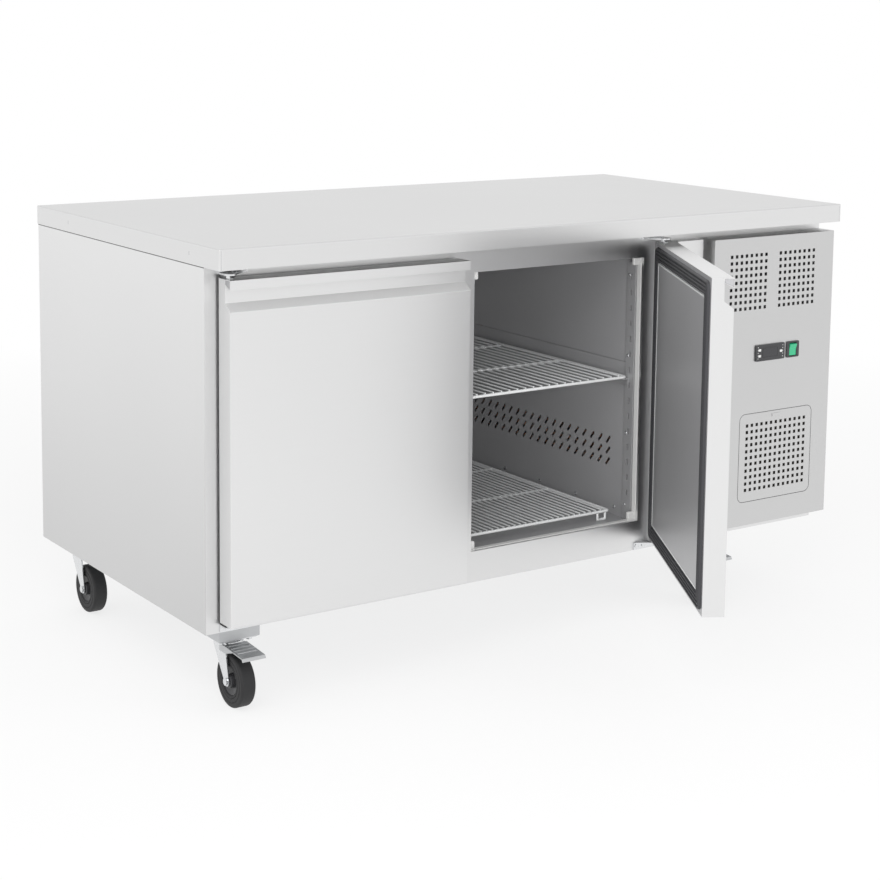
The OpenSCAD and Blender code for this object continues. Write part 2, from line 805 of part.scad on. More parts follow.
module cond_plate(z0, h, hole) {
    difference() {
        translate([cond_y, z0]) square([cond_d, h]);
        for (k = [0 : cond_rows - 1], j = [0, 1])
            translate([cond_y + 11 + 22 * j, cond_z + 30 + k * cond_row_gap]) circle(d = hole);
    }
}

cond_row_gap = (cond_h - 52) / (cond_rows - 1);

module condenser_coil() {
    fins = 20;
    fin_gap = (cond_w - 20) / (fins - 1);
    color(steel) to_origin() {
        for (i = [0 : fins - 1]) translate([cond_x + 10 + i * fin_gap, 0, 0])
            along_x(0.6) cond_plate(cond_z + 14, cond_h - 20, cond_tube_d + 0.1);
        for (x = [cond_x, cond_x + cond_w - 2]) translate([x, 0, 0])
            along_x(2) cond_plate(cond_z, cond_h, cond_tube_d + 0.1);
        for (k = [0 : cond_rows - 1], j = [0, 1])
            bar_x([cond_x - 6, cond_y + 11 + 22 * j, cond_z + 30 + k * cond_row_gap],
                cond_w + 12, cond_tube_d);
    }
}

// Plate with a ring round the fan, and a motor on a cross bar behind it
module condenser_shroud() {
    wall = 2;
    color(dark) to_origin() difference() {
        union() {
            block([cond_x, shroud_y, cond_z], [cond_w, wall, cond_h]);
            bar_y([cond_fan_x, shroud_y, cond_fan_z], shroud_d, fan_d + 2 * wall + 4);
            block([cond_x, shroud_y, cond_z], [cond_w, shroud_d, wall]);
            block([cond_x + 4, motor_y - 6, cond_z], [12, 6, cond_h / 2 + 10]);
            block([cond_x + cond_w - 16, motor_y - 6, cond_z], [12, 6, cond_h / 2 + 10]);
            block([cond_x + 4, shroud_y, cond_z], [12, motor_y - shroud_y, 8]);
            block([cond_x + cond_w - 16, shroud_y, cond_z], [12, motor_y - shroud_y, 8]);
            block([cond_x + 4, motor_y - 6, cond_fan_z - 8], [cond_w - 8, 6, 16]);
            bar_y([cond_fan_x, motor_y - 6, cond_fan_z], 60, 70);
        }
        bar_y([cond_fan_x, shroud_y - cut, cond_fan_z], shroud_d + 2 * cut, fan_d + 4);
        bar_y([cond_fan_x, motor_y - 6 - cut, cond_fan_z], 24, fan_shaft_d + 2 * pin_clear);
    }
}

module condenser_fan() {
    hub_l = 22;
    color(dark) to_origin()
        translate([cond_fan_x, motor_y - 6 - run_gap - hub_l, cond_fan_z])
            rotate([-90, 0, 0]) axial_fan(fan_d - 16, 42, hub_l, 5);
}

// Copper lines: suction and liquid pass through the wall, discharge runs to the condenser
suction_d = 10;
liquid_d = 6;
discharge_d = 8;
pipe_y = coil_y0 + coil_len + 0.5 + suction_d / 2;
suction_z = floor_z + 330;
liquid_z = floor_z + 290;

module pipe_passages() {
    for (p = [[suction_z, suction_d], [liquid_z, liquid_d]])
        bar_x([cham_x1 - cut, pipe_y, p[0]], bay_x - cham_x1 + 2 * cut, p[1] + 1);
}

// Straight runs from point to point, with a ball at each bend
module pipe_run(points, d) {
    for (i = [0 : len(points) - 2]) pipe_leg(points[i], points[i + 1], d);
    for (i = [1 : len(points) - 2]) translate(points[i]) sphere(d = d);
}

module pipe_leg(a, b, d) {
    low = [min(a[0], b[0]), min(a[1], b[1]), min(a[2], b[2])];
    run = norm(b - a);
    if (a[0] != b[0]) bar_x(low, run, d);
    else if (a[1] != b[1]) bar_y(low, run, d);
    else bar_z(low, run, d);
}

module copper_pipes() {
    comp_top = comp_z + comp_h + 0.5;
    loop_z = cond_z + cond_h + 40;
    low_z = cond_z + 50;
    color(copper) to_origin() {
        pipe_run([[coil_x0 + 40, pipe_y, coil_z0 + 8], [coil_x0 + 40, pipe_y, suction_z],
            [comp_x - 30, pipe_y, suction_z], [comp_x - 30, comp_y, suction_z],
            [comp_x - 30, comp_y, comp_top]], suction_d);
        pipe_run([[coil_x0 + 16, pipe_y, coil_z0 + 8], [coil_x0 + 16, pipe_y, liquid_z],
            [bay_x + 30, pipe_y, liquid_z], [bay_x + 30, pipe_y, low_z],
            [bay_x + 30, cond_y + 22, low_z], [cond_x - 6.5, cond_y + 22, low_z]], liquid_d);
        pipe_run([[comp_x + 26, comp_y, comp_top], [comp_x + 26, comp_y, loop_z],
            [comp_x + 26, cond_y + 22, loop_z],
            [comp_x + 26, cond_y + 22, cond_z + cond_h - 5.5]], discharge_d);
    }
}

// Cable gland in the back panel
module power_inlet() {
    color(dark) to_origin() translate([inlet_x, back_y, inlet_z]) rotate([-90, 0, 0]) difference() {
        union() {
            cylinder(d = inlet_d + 8, h = panel_inset);
            translate([0, 0, -24]) cylinder(d = inlet_d - 0.6, h = 24);
            translate([0, 0, -skin_t - 7]) cylinder(d = inlet_d + 8, h = 6.8, $fn = 6);
        }
        translate([0, 0, -24 - cut]) cylinder(d = 9, h = 24 + panel_inset + 2 * cut);
    }
}

// ---------------------------------------------------------------- hinges and fasteners
bracket_t = 3;
pin_in = 13;
flange_t = 3;
collar_d = 16;
axial_gap = 0.4;

// Arm with a round nose on the hinge axis; side is 1 when the door lies towards +X
module bracket_arm(side) {
    reach = frame_y - pivot_y;
    circle(12);
    polygon([[-12 * side, 0], [12 * side, 0], [46 * side, reach], [-12 * side, reach]]);
}

module hinge_bracket(x, side, top) {
    plate_z = top ? door_z + door_h + 6 : door_z - 5 - bracket_t;
    flange_z = top ? plate_z : base_z + 1;
    flange_h = top ? 13 : plate_z + bracket_t - flange_z;
    collar_z = top ? door_z + door_h + axial_gap : plate_z + bracket_t;
    collar_h = top ? plate_z - collar_z : door_z - axial_gap - collar_z;
    pin_z = top ? door_z + door_h - pin_in : plate_z;
    pin_l = top ? plate_z - pin_z : door_z + pin_in - plate_z;
    flange_w = 58;
    translate([x, pivot_y, 0]) {
        difference() {
            union() {
                translate([0, 0, plate_z]) linear_extrude(bracket_t) bracket_arm(side);
                block([side > 0 ? -12 : 12 - flange_w, frame_y - pivot_y - flange_t, flange_z],
                    [flange_w, flange_t, flange_h]);
            }
            for (dx = [22, 40]) bar_y([side * dx, 0, flange_z + 8], frame_y, 4.4);
        }
        bar_z([0, 0, collar_z], collar_h, collar_d);
        bar_z([0, 0, pin_z], pin_l, hinge_pin);
    }
}

module hinge_brackets() {
    color(bright) to_origin() for (top = [true, false]) {
        hinge_bracket(left_pivot_x, 1, top);
        hinge_bracket(right_pivot_x, -1, top);
    }
}

// Base plate of each castor with its kingpin and nut
module castor_plates() {
    half = 38;
    color(bright) to_origin() for (c = castors) translate([c[0], c[1], 0]) {
        difference() {
            block([-half, -half, castor_h - plate_t], [2 * half, 2 * half, plate_t]);
            for (sx = [-1, 1], sy = [-1, 1])
                bar_z([sx * bolt_out, sy * bolt_out, castor_h - plate_t - cut],
                    plate_t + 2 * cut, bolt_d + 0.4);
        }
        bar_z([0, 0, fork_z - 9], castor_h - plate_t - fork_z + 9, kingpin_d);
        translate([0, 0, fork_z - run_gap - 6]) cylinder(d = 20, h = 6, $fn = 6);
    }
}

module fasteners() {
    head = 4.5;
    nut = 6;
    washer = 2.5;
    color(bright) to_origin() {
        for (c = castors, sx = [-1, 1], sy = [-1, 1])
            translate([c[0] + sx * bolt_out, c[1] + sy * bolt_out, castor_h - plate_t]) {
                translate([0, 0, -head]) cylinder(d = 13, h = head, $fn = 6);
                cylinder(d = bolt_d, h = plate_t + washer + nut + 3);
                translate([0, 0, plate_t + washer]) cylinder(d = 14, h = nut, $fn = 6);
            }
        for (h = [[left_pivot_x, 1], [right_pivot_x, -1]], dx = [22, 40],
                z = [door_z + door_h + 14, base_z + 9])
            translate([h[0] + h[1] * dx, frame_y - flange_t - 2, z]) {
                rotate([-90, 0, 0]) cylinder(d = 8, h = 2);
                rotate([-90, 0, 0]) cylinder(d = 4, h = 2 + flange_t);
            }
    }
}

// ---------------------------------------------------------------- doors
// A door is drawn closed, with its hinge axis on the origin and its free edge towards +X
lip_h = 18;
lip_back_h = 10;
recess_h = 42;
slope_h = 56;
bush_d = 14;
bush_l = 14;
door_skin_t = 1.2;
gasket_w = 28;
gasket_in = 8;
hinge_gasket_in = pivot_in + 1;
liner_rise = 3;

module place_left() {
    to_origin() translate([left_pivot_x, pivot_y, 0]) children();
}

module place_right() {
    to_origin() translate([right_pivot_x, pivot_y, 0]) rotate([0, 0, open_angle])
        mirror([1, 0, 0]) children();
}

// Outline of the shell in depth and height: lip, finger recess and flat front
module door_outline() {
    translate([-pivot_back, door_z + door_h]) polygon([[0, 0], [0, -lip_h],
        [recess_d, -lip_back_h], [recess_d, -recess_h], [0, -slope_h], [0, -door_h],
        [door_t, -door_h], [door_t, 0]]);
}

// Space inside the sheet; the lip's hollow is open at the ends only
module door_inside(t) {
    translate([-pivot_back, door_z + door_h]) polygon([[recess_d + t, -t],
        [recess_d + t, -recess_h - t / 2], [t, -slope_h - t / 2], [t, -door_h + t],
        [door_t + cut, -door_h + t], [door_t + cut, -t]]);
}

module lip_inside(t) {
    translate([-pivot_back, door_z + door_h])
        polygon([[t, -t], [t, -lip_h + t * 1.6], [recess_d, -lip_back_h + t], [recess_d, -t]]);
}

module bush_places() {
    for (z = [door_z, door_z + door_h - bush_l]) translate([0, 0, z]) children();
}

module door_skin() {
    t = door_skin_t;
    difference() {
        translate([-pivot_in, 0, 0]) along_x(door_w) door_outline();
        translate([-pivot_in + t, 0, 0]) along_x(door_w - 2 * t) door_inside(t);
        translate([-pivot_in - cut, 0, 0]) along_x(door_w + 2 * cut) lip_inside(t);
        translate([0, 0, door_z - cut]) cylinder(d = bush_d + 0.2, h = t + 2 * cut);
        translate([0, 0, door_z + door_h - t - cut]) cylinder(d = bush_d + 0.2, h = t + 2 * cut);
    }
    bush_places() difference() {
        cylinder(d = bush_d, h = bush_l);
        translate([0, 0, -cut]) cylinder(d = hinge_pin + 2 * pin_clear, h = bush_l + 2 * cut);
    }
}

module door_foam() {
    t = door_skin_t;
    difference() {
        intersection() {
            translate([-pivot_in + t, 0, 0]) along_x(door_w - 2 * t) door_inside(t);
            block([-pivot_in, -pivot_back, door_z], [door_w, door_t - 1, door_h]);
        }
        bush_places() translate([0, 0, -2]) cylinder(d = bush_d + 0.2, h = bush_l + 4);
    }
}

// Inner sheet of the door with a raised middle inside the gasket
module door_liner() {
    t = door_skin_t;
    y1 = door_t - pivot_back;
    x0 = hinge_gasket_in + gasket_w - pivot_in + 3;
    x1 = door_w - pivot_in - gasket_in - gasket_w - 3;
    z0 = door_z + gasket_in + gasket_w + 3;
    z1 = door_z + door_h - gasket_in - gasket_w - 3;
    block([-pivot_in + t, y1 - 1, door_z + t], [door_w - 2 * t, 1, door_h - 2 * t]);
    difference() {
        block([x0, y1, z0], [x1 - x0, liner_rise, z1 - z0]);
        block([x0 + 1, y1 - cut, z0 + 1], [x1 - x0 - 2, liner_rise - 1 + cut, z1 - z0 - 2]);
    }
}

module door_gasket() {
    x0 = hinge_gasket_in - pivot_in;
    x1 = door_w - pivot_in - gasket_in;
    z0 = door_z + gasket_in;
    z1 = door_z + door_h - gasket_in;
    y0 = door_t - pivot_back;
    difference() {
        block([x0, y0, z0], [x1 - x0, gasket_t, z1 - z0]);
        block([x0 + gasket_w, y0 - cut, z0 + gasket_w],
            [x1 - x0 - 2 * gasket_w, gasket_t + 2 * cut, z1 - z0 - 2 * gasket_w]);
    }
}

// Plugs in the two open ends of the lip
module handle_caps() {
    t = door_skin_t + 0.1;
    for (x = [-pivot_in, door_w - pivot_in - 6]) translate([x, 0, 0]) along_x(6)
        translate([-pivot_back, door_z + door_h]) polygon([[t, -t], [t, -lip_h + t * 1.7],
            [recess_d - 0.1, -lip_back_h + t], [recess_d - 0.1, -t]]);
}

module left_door_skin() { color(bright) place_left() door_skin(); }
module left_door_foam() { color(foam_colour) place_left() door_foam(); }
module left_door_liner() { color(steel) place_left() door_liner(); }
module left_door_gasket() { color(dark) place_left() door_gasket(); }
module left_handle_caps() { color(grey) place_left() handle_caps(); }
module right_door_skin() { color(bright) place_right() door_skin(); }
module right_door_foam() { color(foam_colour) place_right() door_foam(); }
module right_door_liner() { color(steel) place_right() door_liner(); }
module right_door_gasket() { color(dark) place_right() door_gasket(); }
module right_handle_caps() { color(grey) place_right() handle_caps(); }

// ---------------------------------------------------------------- castors
// A castor is drawn with its swivel axis on the origin and its wheel trailing to the front
module place_castor(i) {
    to_origin() translate([castors[i][0], castors[i][1], 0]) children();
}

module leg_outline() {
    top = fork_z + plate_t;
    polygon([[20, top], [-22, top], [-27, fork_z - 12], [-trail - 9, axle_z], [-trail + 9, axle_z],
        [8, fork_z - 26], [20, fork_z - 8]]);
    translate([-trail, axle_z]) circle(9);
}

module castor_fork(braked) {
    color(bright) {
        difference() {
            union() {
                bar_z([0, 0, fork_z], plate_t, 48);
                bar_z([0, 0, fork_z], castor_h - plate_t - run_gap - fork_z, 26);
                for (s = [-1, 1]) translate([s > 0 ? leg_x : -leg_x - leg_t, 0, 0])
                    along_x(leg_t) leg_outline();
            }
            bar_z([0, 0, fork_z - cut], castor_h - fork_z, kingpin_d + 2 * pin_clear);
            bar_x([-leg_x - leg_t - cut, -trail, axle_z], 2 * (leg_x + leg_t + cut), axle_d + 0.1);
            if (braked) bar_x([-leg_x - leg_t - cut, pedal_pin_y, pedal_pin_z],
                2 * (leg_x + leg_t + cut), pedal_pin_d + 2 * pin_clear);
        }
        bar_x([-leg_x - leg_t - 3, -trail, axle_z], 2 * (leg_x + leg_t + 3), axle_d);
        for (s = [-1, 1])
            bar_x([s > 0 ? leg_x + leg_t + 0.1 : -leg_x - leg_t - 3.1, -trail, axle_z], 3, 14);
    }
}

// Solid tyre on a ribbed hub; both are turned about the axle
module castor_wheel() {
    r = wheel_d / 2;
    hw = wheel_w / 2;
    rim_r = r - 15;
    hub_hw = leg_x - hub_gap;
    bore_r = axle_d / 2 + pin_clear;
    edge = 5;
    color(dark) translate([0, -trail, axle_z]) rotate([0, 90, 0]) {
        rotate_extrude() polygon(concat([[rim_r, -hw + 2], [rim_r + 2, -hw]],
            arc(r - edge, -hw + edge, edge, -90), arc(r - edge, hw - edge, edge, 0),
            [[rim_r + 2, hw], [rim_r, hw - 2]]));
        rotate_extrude() polygon([[bore_r, -hub_hw], [13, -hub_hw], [13, -hw + 6],
            [rim_r - 4, -hw + 6], [rim_r - 2, -hw + 2.5], [rim_r - 0.05, -hw + 2.5],
            [rim_r - 0.05, hw - 2.5], [rim_r - 2, hw - 2.5], [rim_r - 4, hw - 6],
            [13, hw - 6], [13, hub_hw], [bore_r, hub_hw]]);
    }
}

// Foot brake: ribbed pedal with two cheeks outside the fork and a shoe above the tyre
module brake_pedal() {
    back_z = fork_z - 2;
    front_y0 = -castor_y + 26;
    front_z = fork_z - 7;
    t = 2;
    ribs = 4;
    slope = (back_z - front_z) / (-26 - front_y0);
    cheek_x = leg_x + leg_t + 0.7;
    color(bright) {
        translate([-pedal_w / 2, 0, 0]) along_x(pedal_w)
            polygon([[-26, back_z], [-26, back_z + t], [front_y0, front_z + t],
                [front_y0 - 3, front_z - 4], [front_y0 - 1, front_z - 4], [front_y0 + 1, front_z]]);
        for (i = [0 : ribs - 1]) let (y = -36 - i * 12)
            block([-pedal_w / 2 + 4, y - 2, back_z + slope * (y + 26) + 0.6],
                [pedal_w - 8, 4, t + 0.9]);
        for (s = [-1, 1]) {
            translate([s > 0 ? cheek_x : -cheek_x - t, 0, 0]) along_x(t)
                polygon([[-8, fork_z - 14], [-8, fork_z - 3], [-26, back_z + 1],
                    [-64, back_z + slope * -38 + 1], [-30, fork_z - 15]]);
            bar_x([s > 0 ? leg_x + 0.3 : -cheek_x - 1, pedal_pin_y, pedal_pin_z],
                cheek_x + 1 - leg_x - 0.3, pedal_pin_d);
        }
        block([-10, -64, wheel_d + 1], [20, 6, back_z + slope * -34 + 0.5 - wheel_d - 1]);
    }
}

module fork_front_left() { place_castor(0) castor_fork(true); }
module fork_front_right() { place_castor(1) castor_fork(true); }
module fork_rear_left() { place_castor(2) castor_fork(false); }
module fork_rear_right() { place_castor(3) castor_fork(false); }
module wheel_front_left() { place_castor(0) castor_wheel(); }
module wheel_front_right() { place_castor(1) castor_wheel(); }
module wheel_rear_left() { place_castor(2) castor_wheel(); }
module wheel_rear_right() { place_castor(3) castor_wheel(); }
module pedal_left() { place_castor(0) brake_pedal(); }
module pedal_right() { place_castor(1) brake_pedal(); }

worktop();
side_panel_left();
side_panel_right();
back_panel();
base_panel();
base_rails();
partition_panel();
front_frame();
mullion_cover();
insulation();
inner_liner();
evaporator_cover();
evaporator_coil();
evaporator_motor();
pilasters();
shelf_supports();
shelf_upper_left();
shelf_upper_right();
shelf_lower_left();
shelf_lower_right();
post_cover();
machine_panel();
filter_mesh();
controller_body();
switch_housing();
compressor();
condenser_coil();
condenser_shroud();
copper_pipes();
hinge_brackets();
castor_plates();
fasteners();
power_inlet();
filter_cover();
switch_rocker();
button_set();
button_up();
button_down();
evaporator_fan();
condenser_fan();
left_door_skin();
left_door_foam();
left_door_liner();
left_door_gasket();
left_handle_caps();
right_door_skin();
right_door_foam();
right_door_liner();
right_door_gasket();
right_handle_caps();
fork_front_left();
fork_front_right();
fork_rear_left();
fork_rear_right();
wheel_front_left();
wheel_front_right();
wheel_rear_left();
wheel_rear_right();
pedal_left();
pedal_right();
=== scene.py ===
# %% [markdown]
# # A two-door counter refrigerator
#
# The cabinet stands on four castors under one stainless worktop. Two insulated doors close the
# cold chamber, and a perforated panel at the right covers the machine bay. The CAD model gives
# every solid its size and place. This script gives those solids their finish, rounds their
# folded sheet edges, and adds what is too fine for CAD: seal ribs, screws, tyre grooves, trims.

import json
import math

import bmesh
import bpy
from mathutils import Matrix, Vector

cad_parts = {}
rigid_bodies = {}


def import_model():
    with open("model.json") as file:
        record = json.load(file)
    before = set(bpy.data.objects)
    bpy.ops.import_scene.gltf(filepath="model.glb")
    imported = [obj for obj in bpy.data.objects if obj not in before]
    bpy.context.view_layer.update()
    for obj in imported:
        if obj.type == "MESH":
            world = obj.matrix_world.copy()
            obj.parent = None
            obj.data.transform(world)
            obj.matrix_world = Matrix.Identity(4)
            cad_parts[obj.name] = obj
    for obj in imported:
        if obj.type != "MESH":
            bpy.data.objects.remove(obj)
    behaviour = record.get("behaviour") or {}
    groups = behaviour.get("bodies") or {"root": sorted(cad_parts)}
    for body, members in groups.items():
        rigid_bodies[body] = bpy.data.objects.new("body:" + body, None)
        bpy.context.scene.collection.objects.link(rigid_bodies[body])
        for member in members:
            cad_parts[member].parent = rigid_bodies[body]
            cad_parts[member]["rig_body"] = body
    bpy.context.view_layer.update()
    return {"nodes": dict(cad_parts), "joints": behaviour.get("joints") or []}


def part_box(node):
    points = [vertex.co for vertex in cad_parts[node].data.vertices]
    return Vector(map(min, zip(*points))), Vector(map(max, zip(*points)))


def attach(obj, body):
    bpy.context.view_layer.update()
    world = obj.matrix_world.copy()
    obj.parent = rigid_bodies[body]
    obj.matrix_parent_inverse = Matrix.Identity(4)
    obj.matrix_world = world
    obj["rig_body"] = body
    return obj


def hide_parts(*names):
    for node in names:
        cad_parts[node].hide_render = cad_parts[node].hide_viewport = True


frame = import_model()
nodes = frame["nodes"]
MM = 0.001

# %% [markdown]
# ## Shader arithmetic
#
# `Value` wraps one socket, so a material reads like a formula: `0.3 + grain * 0.1` becomes two
# Math nodes. `Shader` holds one material, and its `node` method adds any other kind of node.


# %% Shader classes
class Value:
    """A shader socket that does arithmetic."""

    def __init__(self, shader, socket):
        self.shader = shader
        self.socket = socket

    def math(self, operation, *values):
        node = self.shader.tree.nodes.new("ShaderNodeMath")
        node.operation = operation
        for entry, value in zip(node.inputs, values):
            self.shader.feed(entry, value)
        return Value(self.shader, node.outputs[0])

    def __add__(self, other):
        return self.math("ADD", self, other)

    def __radd__(self, other):
        return self.math("ADD", other, self)

    def __sub__(self, other):
        return self.math("SUBTRACT", self, other)

    def __rsub__(self, other):
        return self.math("SUBTRACT", other, self)

    def __mul__(self, other):
        return self.math("MULTIPLY", self, other)

    def __rmul__(self, other):
        return self.math("MULTIPLY", other, self)

    def __truediv__(self, other):
        return self.math("DIVIDE", self, other)

    def __rtruediv__(self, other):
        return self.math("DIVIDE", other, self)

    def wave(self, times):
        """Sine of this value, times so many turns."""
        return self.math("SINE", self * (times * math.tau))

    def at_least(self, other):
        return self.math("MAXIMUM", self, other)

    def between(self, low, high):
        """0 below low, 1 above high, and a straight rise from one to the other."""
        return self.math("MINIMUM", ((self - low) / (high - low)).at_least(0.0), 1.0)


class Shader:
    """One node material or world."""

    def __init__(self, name, owner=None):
        self.owner = owner or bpy.data.materials.new(name)
        self.owner.use_nodes = True
        self.tree = self.owner.node_tree
        self.tree.nodes.clear()

    def feed(self, entry, value):
        if isinstance(value, Value):
            self.tree.links.new(value.socket, entry)
        else:
            entry.default_value = value

    def node(self, kind, settings=None, output=0, **inputs):
        """Adds a node: its type, then its settings, then its socket values or links."""
        node = self.tree.nodes.new(kind)
        for key, value in (settings or {}).items():
            setattr(node, key, value)
        for key, value in inputs.items():
            self.feed(node.inputs[key.replace("_", " ")], value)
        return Value(self, node.outputs[output])

    def place(self, scale=(1, 1, 1)):
        """Object coordinates in metres, stretched by scale."""
        where = self.node("ShaderNodeTexCoord", output="Object")
        return self.node("ShaderNodeMapping", Vector=where, Scale=scale)

    def noise(self, scale, size, detail=3.0):
        return self.node("ShaderNodeTexNoise", Vector=self.place(scale), Scale=size, Detail=detail)

    def axes(self):
        """The object coordinates as three numbers."""
        where = self.node("ShaderNodeTexCoord", output="Object")
        split = self.tree.nodes.new("ShaderNodeSeparateXYZ")
        self.feed(split.inputs[0], where)
        return [Value(self, out) for out in split.outputs]

    def tone(self, colour, share, factor):
        """colour, darkened to share of itself where factor is 0."""
        dark = tuple(c * share for c in colour)
        mix = self.tree.nodes.new("ShaderNodeMix")
        mix.data_type = "RGBA"
        self.feed(mix.inputs["Factor"], factor)
        mix.inputs[6].default_value = (*dark, 1)
        mix.inputs[7].default_value = (*colour, 1)
        return Value(self, mix.outputs[2])

    def bump(self, height, strength, distance):
        return self.node("ShaderNodeBump", Height=height, Strength=strength, Distance=distance)

    def finish(self, surface, kind="ShaderNodeOutputMaterial"):
        out = self.tree.nodes.new(kind)
        self.tree.links.new(surface.socket, out.inputs["Surface"])
        return self.owner

    def principled(self, **inputs):
        return self.finish(self.node("ShaderNodeBsdfPrincipled", **inputs))


# %% [markdown]
# ## Materials
#
# Most of the cabinet is brushed stainless sheet. Its grain is noise stretched a few hundred
# times along one axis. The grain changes the roughness and the normal a little, and a second,
# broad noise keeps a large panel from looking flat.


# %% Metals
GRAIN = {"x": (3, 700, 700), "y": (700, 3, 700), "z": (700, 700, 3)}


def brushed(name, colour, along="x", rough=0.34, metallic=1.0, depth=0.05, low=1.0):
    """Sheet with a grain; low is the share of its brightness near the floor, a painted shade."""
    shader = Shader(name)
    grain = shader.noise(GRAIN[along], 1.0, 4.0)
    broad = shader.noise((1, 1, 1), 2.2, 2.0)
    # Painted shade: the colour darkens towards the floor, to low of itself below 0.1 m, and is full
    # above 0.86 m.
    height = shader.axes()[2].between(0.1, 0.86)
    mottle = 0.94 + (broad * 0.6 + grain * 0.4) * 0.06
    return shader.principled(
        Base_Color=shader.tone(colour, 0.0, mottle * (low + height * (1 - low))),
        Metallic=metallic,
        Roughness=rough - 0.06 + grain * 0.12,
        Normal=shader.bump(grain, depth, 0.0003),
    )


def plated(name, colour, rough, size=90.0, share=0.9):
    """Zinc plate or galvanised sheet: a mottled metal without grain."""
    shader = Shader(name)
    spots = shader.noise((1, 1, 1), size, 3.0)
    return shader.principled(
        Base_Color=shader.tone(colour, share, spots),
        Metallic=1.0,
        Roughness=rough - 0.05 + spots * 0.1,
    )


def coated(name, colour, rough, coat=0.0, grain=900.0, depth=0.08):
    """Plastic, paint, rubber or foam: a plain colour with a fine surface grain."""
    shader = Shader(name)
    fine = shader.noise((1, 1, 1), grain, 2.0)
    return shader.principled(
        Base_Color=shader.tone(colour, 0.88, fine),
        Roughness=rough - 0.04 + fine * 0.08,
        Coat_Weight=coat,
        Normal=shader.bump(fine, depth, 0.0002),
    )


def woven(name, colour, pitch):
    """Fine crossed wires, as in a washable air filter."""
    shader = Shader(name)
    x, y, z = shader.axes()
    weave = (x.wave(1 / pitch) * z.wave(1 / pitch)) * 0.5 + 0.5
    return shader.principled(
        Base_Color=shader.tone(colour, 0.35, weave),
        Metallic=0.6,
        Roughness=0.55,
        Normal=shader.bump(weave, 0.5, 0.0008),
    )


# Painted glow: the emission stands for light through translucent plastic and for its highlight.
def glowing(name, colour, strength):
    shader = Shader(name)
    haze = shader.noise((1, 1, 1), 60.0)
    return shader.principled(
        Base_Color=shader.tone(colour, 0.8, haze),
        Roughness=0.22,
        Coat_Weight=0.5,
        Emission_Color=(*colour, 1),
        Emission_Strength=strength,
    )


STEEL = (0.80, 0.80, 0.80)
# The worktop's upper face is painted darker than its edges, as shade.
TOP_SHADED = (0.69, 0.69, 0.69)
PANEL = (0.66, 0.66, 0.66)
LINER = (0.56, 0.56, 0.57)
INNER = (0.50, 0.50, 0.51)
materials = {
    "steel_x": brushed("brushed_steel_x", STEEL, "x"),
    # A low below 1 paints shade towards the floor, on the side panels, the door liners and the
    # chamber.
    "steel_y": brushed("brushed_steel_y", (0.85, 0.85, 0.85), "y", low=0.76),
    "top": brushed("worktop_steel_shaded", TOP_SHADED, "x", rough=0.42),
    "panel": brushed("panel_steel", PANEL, "x", rough=0.40),
    "steel_z": brushed("brushed_steel_z", STEEL, "z"),
    "door": brushed("door_steel", (0.83, 0.83, 0.83), "x", rough=0.38),
    # A darker copy of the door steel, painted as shade in the handle recess.
    "recess": brushed("recess_shaded_steel", (0.66, 0.66, 0.66), "x", rough=0.5, metallic=0.55),
    "liner": brushed("door_liner_steel", LINER, "z", rough=0.34, metallic=0.45, low=0.8),
    "inner": brushed("inner_steel", INNER, "x", rough=0.45, metallic=0.25, low=0.8),
    "galvanised": plated("galvanised", (0.62, 0.63, 0.64), 0.45, size=35.0, share=0.82),
    "zinc": plated("zinc", (0.80, 0.81, 0.82), 0.24),
    "wire": coated("shelf_coating", (0.86, 0.87, 0.87), 0.30, coat=0.4),
    "foam": coated("foam", (0.86, 0.80, 0.62), 0.85, grain=260.0, depth=0.4),
    "gasket": coated("gasket_rubber", (0.045, 0.045, 0.05), 0.55),
    "black": coated("black_plastic", (0.035, 0.035, 0.038), 0.42, coat=0.15),
    "grey": coated("grey_plastic", (0.42, 0.42, 0.43), 0.50),
    "pale": coated("pale_plastic", (0.72, 0.72, 0.71), 0.45),
    "tyre": coated("tyre_rubber", (0.014, 0.014, 0.015), 0.60, grain=400.0),
    # The rocker's faint emission is a painted glow.
    "green": glowing("rocker_green", (0.02, 0.42, 0.20), 0.12),
    "screen": coated("display_glass", (0.012, 0.012, 0.016), 0.12, coat=0.6),
    "filter": woven("filter_mesh", (0.07, 0.062, 0.055), 0.0016),
    "fins": brushed("coil_fins", (0.75, 0.76, 0.77), "z", rough=0.4),
    "enamel": coated("black_enamel", (0.03, 0.03, 0.034), 0.30, coat=0.4),
    "copper": plated("copper", (0.76, 0.42, 0.27), 0.28),
}
print(len(materials), "materials")

# %% [markdown]
# ## Meshes
#
# A CAD node arrives as loose triangles. `carry` copies it, welds it, joins its flat faces and
# rounds the long convex folds, as a press brake leaves them. It works from the CAD solid, so
# sizes and holes stay right. Sheared rims are thin faces, and they keep their sharp edge.


# %% Mesh helpers
FOLD_ANGLE = math.radians(20)
SHARP_ANGLE = math.radians(35)
FLAT_ANGLE = math.radians(0.5)


def made(what):
    """Takes what a cell has added; it prints nothing."""


def folds(bm, least):
    """Convex edges between two faces that are both larger than least, in square metres."""
    found = []
    for edge in bm.edges:
        if len(edge.link_faces) != 2 or edge.calc_face_angle_signed(0) < FOLD_ANGLE:
            continue
        if min(face.calc_area() for face in edge.link_faces) > least:
            found.append(edge)
    return found


def shaded(obj):
    """Smooth shading except at sharp edges, with normals weighted by face area."""
    obj.data.shade_smooth()
    obj.data.set_sharp_from_angle(angle=SHARP_ANGLE)
    weight = obj.modifiers.new("normals", "WEIGHTED_NORMAL")
    weight.keep_sharp = True
    return settled(obj)


def settled(obj):
    """Replaces a mesh object's modifiers by their result."""
    graph = bpy.context.evaluated_depsgraph_get()
    mesh = bpy.data.meshes.new_from_object(obj.evaluated_get(graph))
    obj.modifiers.clear()
    obj.data = mesh
    return obj


